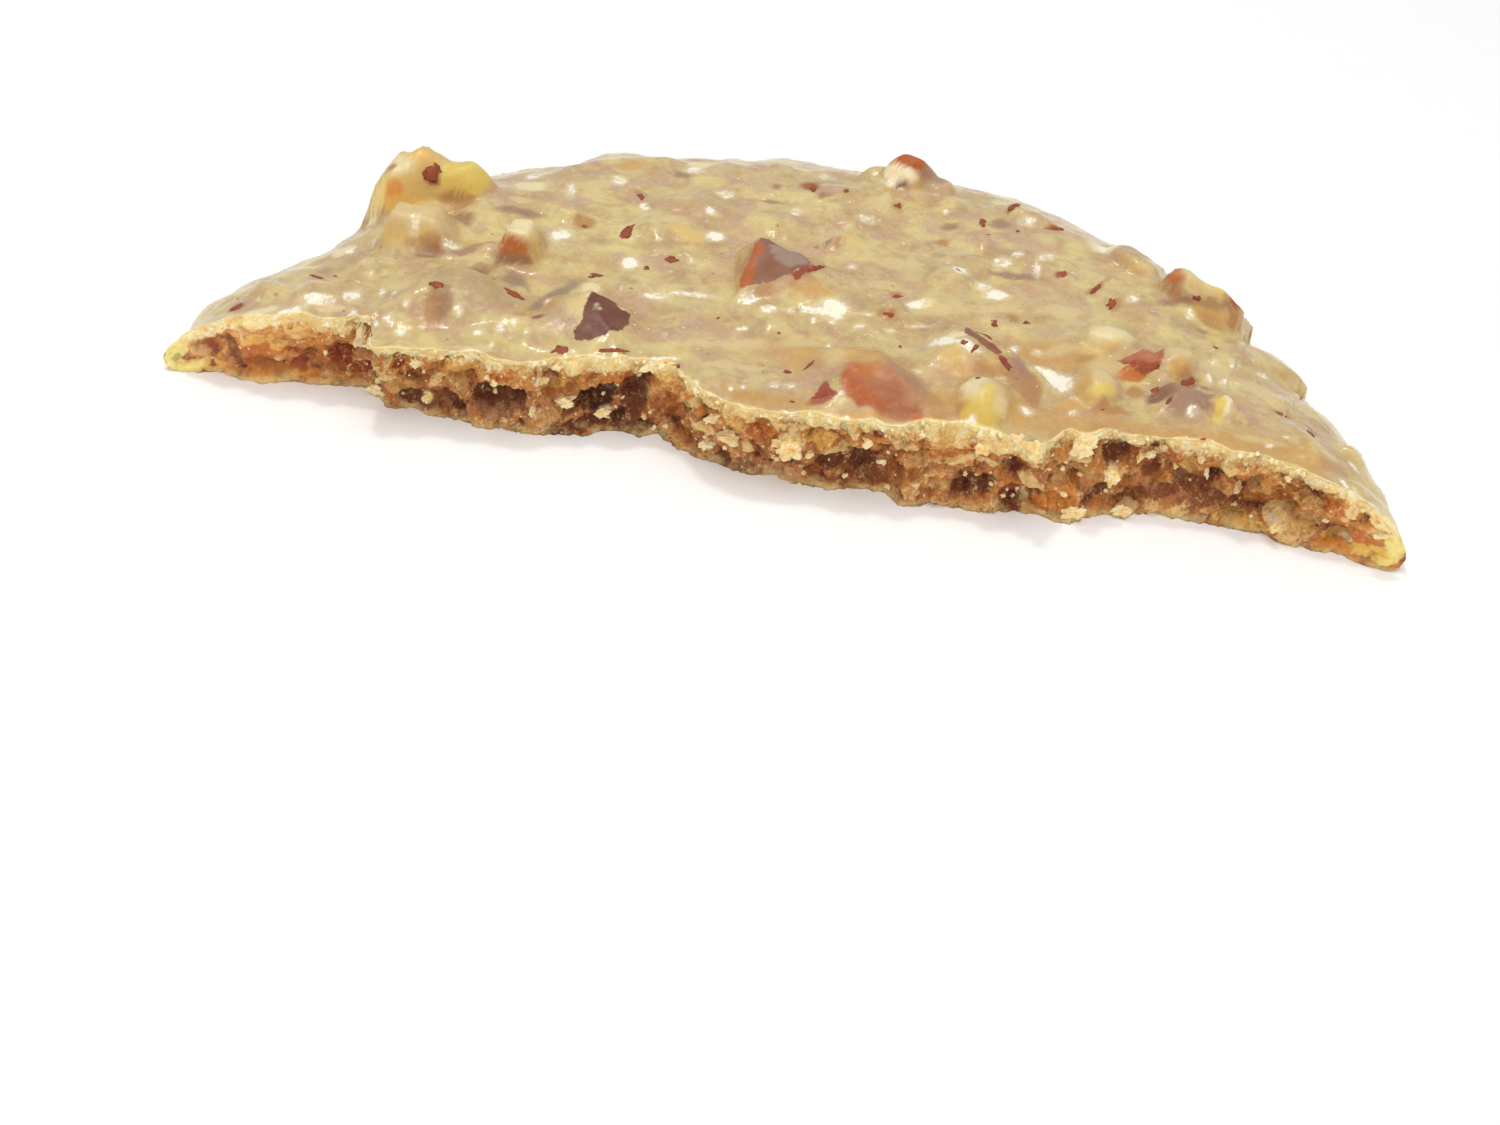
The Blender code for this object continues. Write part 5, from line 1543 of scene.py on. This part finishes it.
def floor_material():
    """Plain white paper."""
    paint = Paint("stage_paper")
    grain = paint.clouds(3.0, 2.0, 0.5, seed=1)
    paint.set("Base Color", paint.mix(grain, (0.95, 0.95, 0.95), (0.97, 0.97, 0.97)))
    paint.set("Roughness", 0.8)
    return paint.material


# ---------------------------------------------------------------------------------------------
# Pieces


LUMP_BUMPS = ((1.7, 0.5 * MM, 1), (4.1, -0.4 * MM, 0.5))  # bumps across, shift, part of the push
CRUMB_ROUGHNESS = 0.8
FLECK_ROUGHNESS = 0.55
FLECK_HALF_THICKNESS = 0.09 * MM
FLECK_REACH = 44  # mm from the middle of the round
FLECK_SEED, CRUMB_SEED, EDGE_CRUMB_SEED = 5, 8, 21


def finished_piece(name, shape, material, flat=False):
    """An object at the origin from a bmesh in the frame of the round, riding on the model."""
    bmesh.ops.translate(shape, verts=shape.verts, vec=ROUND_CENTRE)
    mesh = bpy.data.meshes.new(name)
    shape.to_mesh(mesh)
    shape.free()
    if flat:
        mesh.shade_flat()
    else:
        mesh.shade_smooth()
    mesh.materials.append(material)
    piece = bpy.data.objects.new(name, mesh)
    bpy.context.scene.collection.objects.link(piece)
    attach(piece, "root")
    return piece


def candy_tree():
    """The candy's surface, to set small bits on, in metres from the middle of the round."""
    mesh = bpy.data.objects["candy"].data
    points = [vertex.co - ROUND_CENTRE for vertex in mesh.vertices]
    return BVHTree.FromPolygons(points, [tuple(face.vertices) for face in mesh.polygons])


def seen_from_front(tree, x, z):
    """The point of the candy seen level from the front, or None, and the way its surface faces."""
    return tree.ray_cast(Vector((x, -30 * MM, z)), Vector((0, 1, 0)))[:2]


def direction(degrees):
    """Cosine and sine of an angle."""
    return math.cos(math.radians(degrees)), math.sin(math.radians(degrees))


class LumpHeap:
    """Gathers uneven lumps in one mesh, a batch at a time, which keeps each step short."""

    BATCH = 50

    def __init__(self):
        self.whole = bmesh.new()
        self.batch = bmesh.new()
        self.waiting = 0

    def add(self, centre, facing, along, half_sizes, rough, rounds):
        """An uneven lump at a place, long one way and flattened along the way it faces."""
        across = facing.cross(along).normalized()
        faced = Matrix((across.cross(facing), across, facing)).transposed().to_4x4()
        place = Matrix.Translation(centre) @ faced
        made = bmesh.ops.create_icosphere(self.batch, subdivisions=rounds, radius=1.0)
        for vertex in made["verts"]:
            pushed = 1.0
            for times, shift, part in LUMP_BUMPS:
                pushed += rough * part * noise.noise(vertex.co * times + centre / shift)
            sized = Vector(part * half for part, half in zip(vertex.co * pushed, half_sizes))
            vertex.co = place @ sized
        self.waiting += 1
        if self.waiting == self.BATCH:
            self.gather()

    def add_crumb(self, draw, centre, facing, size):
        """A small crumb of a random shape, of a size in mm."""
        half_sizes = [size * draw.uniform(0.6, 1.0) * MM for _ in range(3)]
        along = Vector(draw.uniform(-1, 1) for _ in range(3))
        self.add(centre, facing, along, half_sizes, CRUMB_ROUGHNESS, 2)

    def gather(self):
        """Moves the batch into the whole."""
        carrier = bpy.data.meshes.new("carrier")
        self.batch.to_mesh(carrier)
        self.whole.from_mesh(carrier)
        bpy.data.meshes.remove(carrier)
        self.batch.free()
        self.batch = bmesh.new()
        self.waiting = 0

    def finish(self):
        """The whole heap as one bmesh."""
        self.gather()
        self.batch.free()
        return self.whole


class PralineOperator:
    """What the operators share."""

    bl_options = {"REGISTER", "UNDO"}

    @property
    def sizes(self):
        return bpy.context.scene.praline_sizes

    @property
    def colours(self):
        return bpy.context.scene.praline_colours


class PRALINE_OT_candy(PralineOperator, bpy.types.Operator):
    """Make the half itself, in place of its solid"""

    bl_idname = "praline.candy"
    bl_label = "Candy"

    def execute(self, context):
        shape = candy_shape(self.sizes.cell, self.sizes.crumble)
        mesh = bpy.data.meshes.new("colouring")
        shape.to_mesh(mesh)
        colour_vertices(mesh)
        shape.free()
        coloured = bmesh.new()
        coloured.from_mesh(mesh)
        bpy.data.meshes.remove(mesh)
        candy = finished_piece("candy", coloured, candy_material(self.colours))
        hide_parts("praline")
        return {"FINISHED"}


class PRALINE_OT_flecks(PralineOperator, bpy.types.Operator):
    """Lay flecks of pecan skin in the top"""

    bl_idname = "praline.flecks"
    bl_label = "Pecan skin flecks"

    def execute(self, context):
        draw = random.Random(FLECK_SEED)
        tree = candy_tree()
        flecks = list(FLECKS)
        while len(flecks) < len(FLECKS) + self.sizes.flecks:
            angle, reach = draw.uniform(3, 177), FLECK_REACH * math.sqrt(draw.random())
            length = 0.18 + 0.55 * draw.random() ** 3
            x, y = (reach * part for part in direction(angle))
            flecks.append((x, y, length, length * draw.uniform(0.4, 0.9), draw.uniform(-40, 40)))
        heap = LumpHeap()
        for x, y, length, width, way in flecks:
            above = Vector((x * MM, y * MM, 30 * MM))
            hit, facing, _, _ = tree.ray_cast(above, Vector((0, 0, -1)))
            if hit is None or facing.z < 0.3:
                continue
            centre = hit - facing * FLECK_HALF_THICKNESS * 0.45
            half_sizes = (length / 2 * MM, width / 2 * MM, FLECK_HALF_THICKNESS)
            rounds = 3 if length > 0.9 else 2
            along = Vector((*direction(way), 0.0))
            heap.add(centre, facing, along, half_sizes, FLECK_ROUGHNESS, rounds)
        finished_piece("skin_flecks", heap.finish(), fleck_material(self.colours))
        return {"FINISHED"}


class PRALINE_OT_crumbs(PralineOperator, bpy.types.Operator):
    """Stick crumbs to the broken face"""

    bl_idname = "praline.crumbs"
    bl_label = "Crumbs"

    def execute(self, context):
        draw = random.Random(CRUMB_SEED)
        tree = candy_tree()
        heap = LumpHeap()
        for x, z, width, height, way in BREAK_PATCHES["white"] + BREAK_PATCHES["pale"][::2]:
            hit, _ = seen_from_front(tree, x * MM, z * MM)
            if hit is None:
                continue
            hit.z = max(hit.z, 0.75 * height * MM)
            facing = Vector((0, -1, 0.25)).normalized()
            half_sizes = (width * 0.45 * MM, height * 0.45 * MM, 0.40 * height * MM)
            cosine, sine = direction(way)
            heap.add(hit, facing, Vector((cosine, 0, sine)), half_sizes, CRUMB_ROUGHNESS, 4)
        for _ in range(self.sizes.crumbs):
            x, z = draw.uniform(-45, 45), draw.uniform(0.2, 6.4)
            size = 0.10 + 0.32 * draw.random() ** 2.5
            hit, facing = seen_from_front(tree, x * MM, z * MM)
            if hit is None or facing.z > 0.75 or not -34 < x < 41:
                continue
            hit.z = max(hit.z, 1.4 * size * MM)
            heap.add_crumb(draw, hit, facing, size)
        finished_piece("crumbs", heap.finish(), crumb_material(self.colours), flat=True)
        return {"FINISHED"}


class PRALINE_OT_edge_crumbs(PralineOperator, bpy.types.Operator):
    """Set pale crumbs along the top edge of the break"""

    bl_idname = "praline.edge_crumbs"
    bl_label = "Edge crumbs"

    def execute(self, context):
        draw = random.Random(EDGE_CRUMB_SEED)
        tree = candy_tree()
        heap = LumpHeap()
        for _ in range(self.sizes.edge_crumbs):
            x = draw.uniform(-44, 44) * MM
            z = top_height(x, break_y(x, SLAB_HEIGHT)) - abs(draw.gauss(0, 0.22)) * MM
            hit, facing = seen_from_front(tree, x, z)
            size = 0.07 + 0.2 * draw.random() ** 2
            if hit is not None and wave(x, 0, 0.7, 4 * MM) >= -0.12:
                heap.add_crumb(draw, hit, facing, size)
        finished_piece("edge_crumbs", heap.finish(), edge_material(self.colours), flat=True)
        return {"FINISHED"}


# ---------------------------------------------------------------------------------------------
# Stage


CAMERA_FROM_ROUND = Vector((10.787, -94.822, 74.443)) * MM
CAMERA_TURN = math.radians(6.568)
CAMERA_DOWN = math.radians(41.0)
CAMERA_ROLL = math.radians(5.54)
LENS, SENSOR_WIDTH = 40.0, 36.0  # mm
CLIP_START = 1 * MM
FLOOR_HALF = 1.5
WHITE = (1.0, 1.0, 1.0)
SKY_STRENGTH = 0.50
# Name, place, size, watts, colour, and whether glossy surfaces mirror it.
SOFTBOXES = (
    ("softbox_back", (-0.08, 0.11, 0.40), 0.04, 0.34, (1.0, 0.99, 0.97), True),
    ("softbox_top", (0.0, 0.04, 0.50), 0.36, 0.80, WHITE, False),
    ("softbox_front", (0.05, -0.38, 0.25), 0.25, 0.66, (1.0, 0.99, 0.98), False),
)


def add_camera():
    """The camera, at the photo's viewing angle."""
    data = bpy.data.cameras.new("camera")
    data.lens = LENS
    data.sensor_width = SENSOR_WIDTH
    data.clip_start = CLIP_START
    ahead = Vector((0, math.cos(CAMERA_DOWN), -math.sin(CAMERA_DOWN)))
    right = Vector((1, 0, 0))
    up = right.cross(ahead)
    rolled_right = math.cos(CAMERA_ROLL) * right + math.sin(CAMERA_ROLL) * up
    rolled_up = math.cos(CAMERA_ROLL) * up - math.sin(CAMERA_ROLL) * right
    turned = Matrix.Rotation(CAMERA_TURN, 3, "Z")
    axes = Matrix((turned @ rolled_right, turned @ rolled_up, turned @ -ahead)).transposed()
    camera = bpy.data.objects.new("camera", data)
    camera.matrix_world = Matrix.Translation(ROUND_CENTRE + CAMERA_FROM_ROUND) @ axes.to_4x4()
    bpy.context.scene.collection.objects.link(camera)
    bpy.context.scene.camera = camera


def add_softbox(name, place, size, power, colour, mirrored):
    """A square light that looks at the praline. Glossy surfaces mirror it, or don't."""
    data = bpy.data.lights.new(name, "AREA")
    data.shape = "SQUARE"
    data.size = size
    data.energy = power
    data.color = colour
    light = bpy.data.objects.new(name, data)
    light.location = place
    light.visible_glossy = mirrored
    light.rotation_mode = "QUATERNION"
    light.rotation_quaternion = (-Vector(place)).to_track_quat("-Z", "Y")
    bpy.context.scene.collection.objects.link(light)


class PRALINE_OT_stage(PralineOperator, bpy.types.Operator):
    """Set the floor, the lights and the camera"""

    bl_idname = "praline.stage"
    bl_label = "Stage"

    def execute(self, context):
        shape = bmesh.new()
        bmesh.ops.create_grid(shape, x_segments=8, y_segments=8, size=FLOOR_HALF)
        mesh = bpy.data.meshes.new("floor")
        shape.to_mesh(mesh)
        shape.free()
        mesh.materials.append(floor_material())
        floor = bpy.data.objects.new("floor", mesh)
        bpy.context.scene.collection.objects.link(floor)
        world = bpy.data.worlds.new("white_room")
        world.use_nodes = True
        sky = world.node_tree.nodes["Background"]
        sky.inputs["Color"].default_value = (*WHITE, 1.0)
        sky.inputs["Strength"].default_value = SKY_STRENGTH
        context.scene.world = world
        for softbox in SOFTBOXES:
            add_softbox(*softbox)
        add_camera()
        context.scene.view_settings.view_transform = "Standard"
        return {"FINISHED"}


class PRALINE_PT_panel(bpy.types.Panel):
    """Lists the pieces of the praline"""

    bl_idname = "PRALINE_PT_panel"
    bl_label = "Pecan praline"
    bl_space_type = "VIEW_3D"
    bl_region_type = "UI"
    bl_category = "Praline"

    def draw(self, context):
        for settings in (context.scene.praline_sizes, context.scene.praline_colours):
            box = self.layout.box()
            for name in settings.__annotations__:
                box.prop(settings, name)
        for operator in OPERATORS:
            self.layout.operator(operator.bl_idname)


OPERATORS = (
    PRALINE_OT_candy,
    PRALINE_OT_flecks,
    PRALINE_OT_crumbs,
    PRALINE_OT_edge_crumbs,
    PRALINE_OT_stage,
)
CLASSES = (PralineSizes, PralineColours, *OPERATORS, PRALINE_PT_panel)


def register():
    for each in CLASSES:
        bpy.utils.register_class(each)
    bpy.types.Scene.praline_sizes = PointerProperty(type=PralineSizes)
    bpy.types.Scene.praline_colours = PointerProperty(type=PralineColours)


def unregister():
    del bpy.types.Scene.praline_colours
    del bpy.types.Scene.praline_sizes
    for each in reversed(CLASSES):
        bpy.utils.unregister_class(each)


def main():
    register()
    bpy.ops.praline.stage()
    bpy.ops.praline.candy()
    bpy.ops.praline.flecks()
    bpy.ops.praline.crumbs()
    bpy.ops.praline.edge_crumbs()


if __name__ == "__main__":
    main()
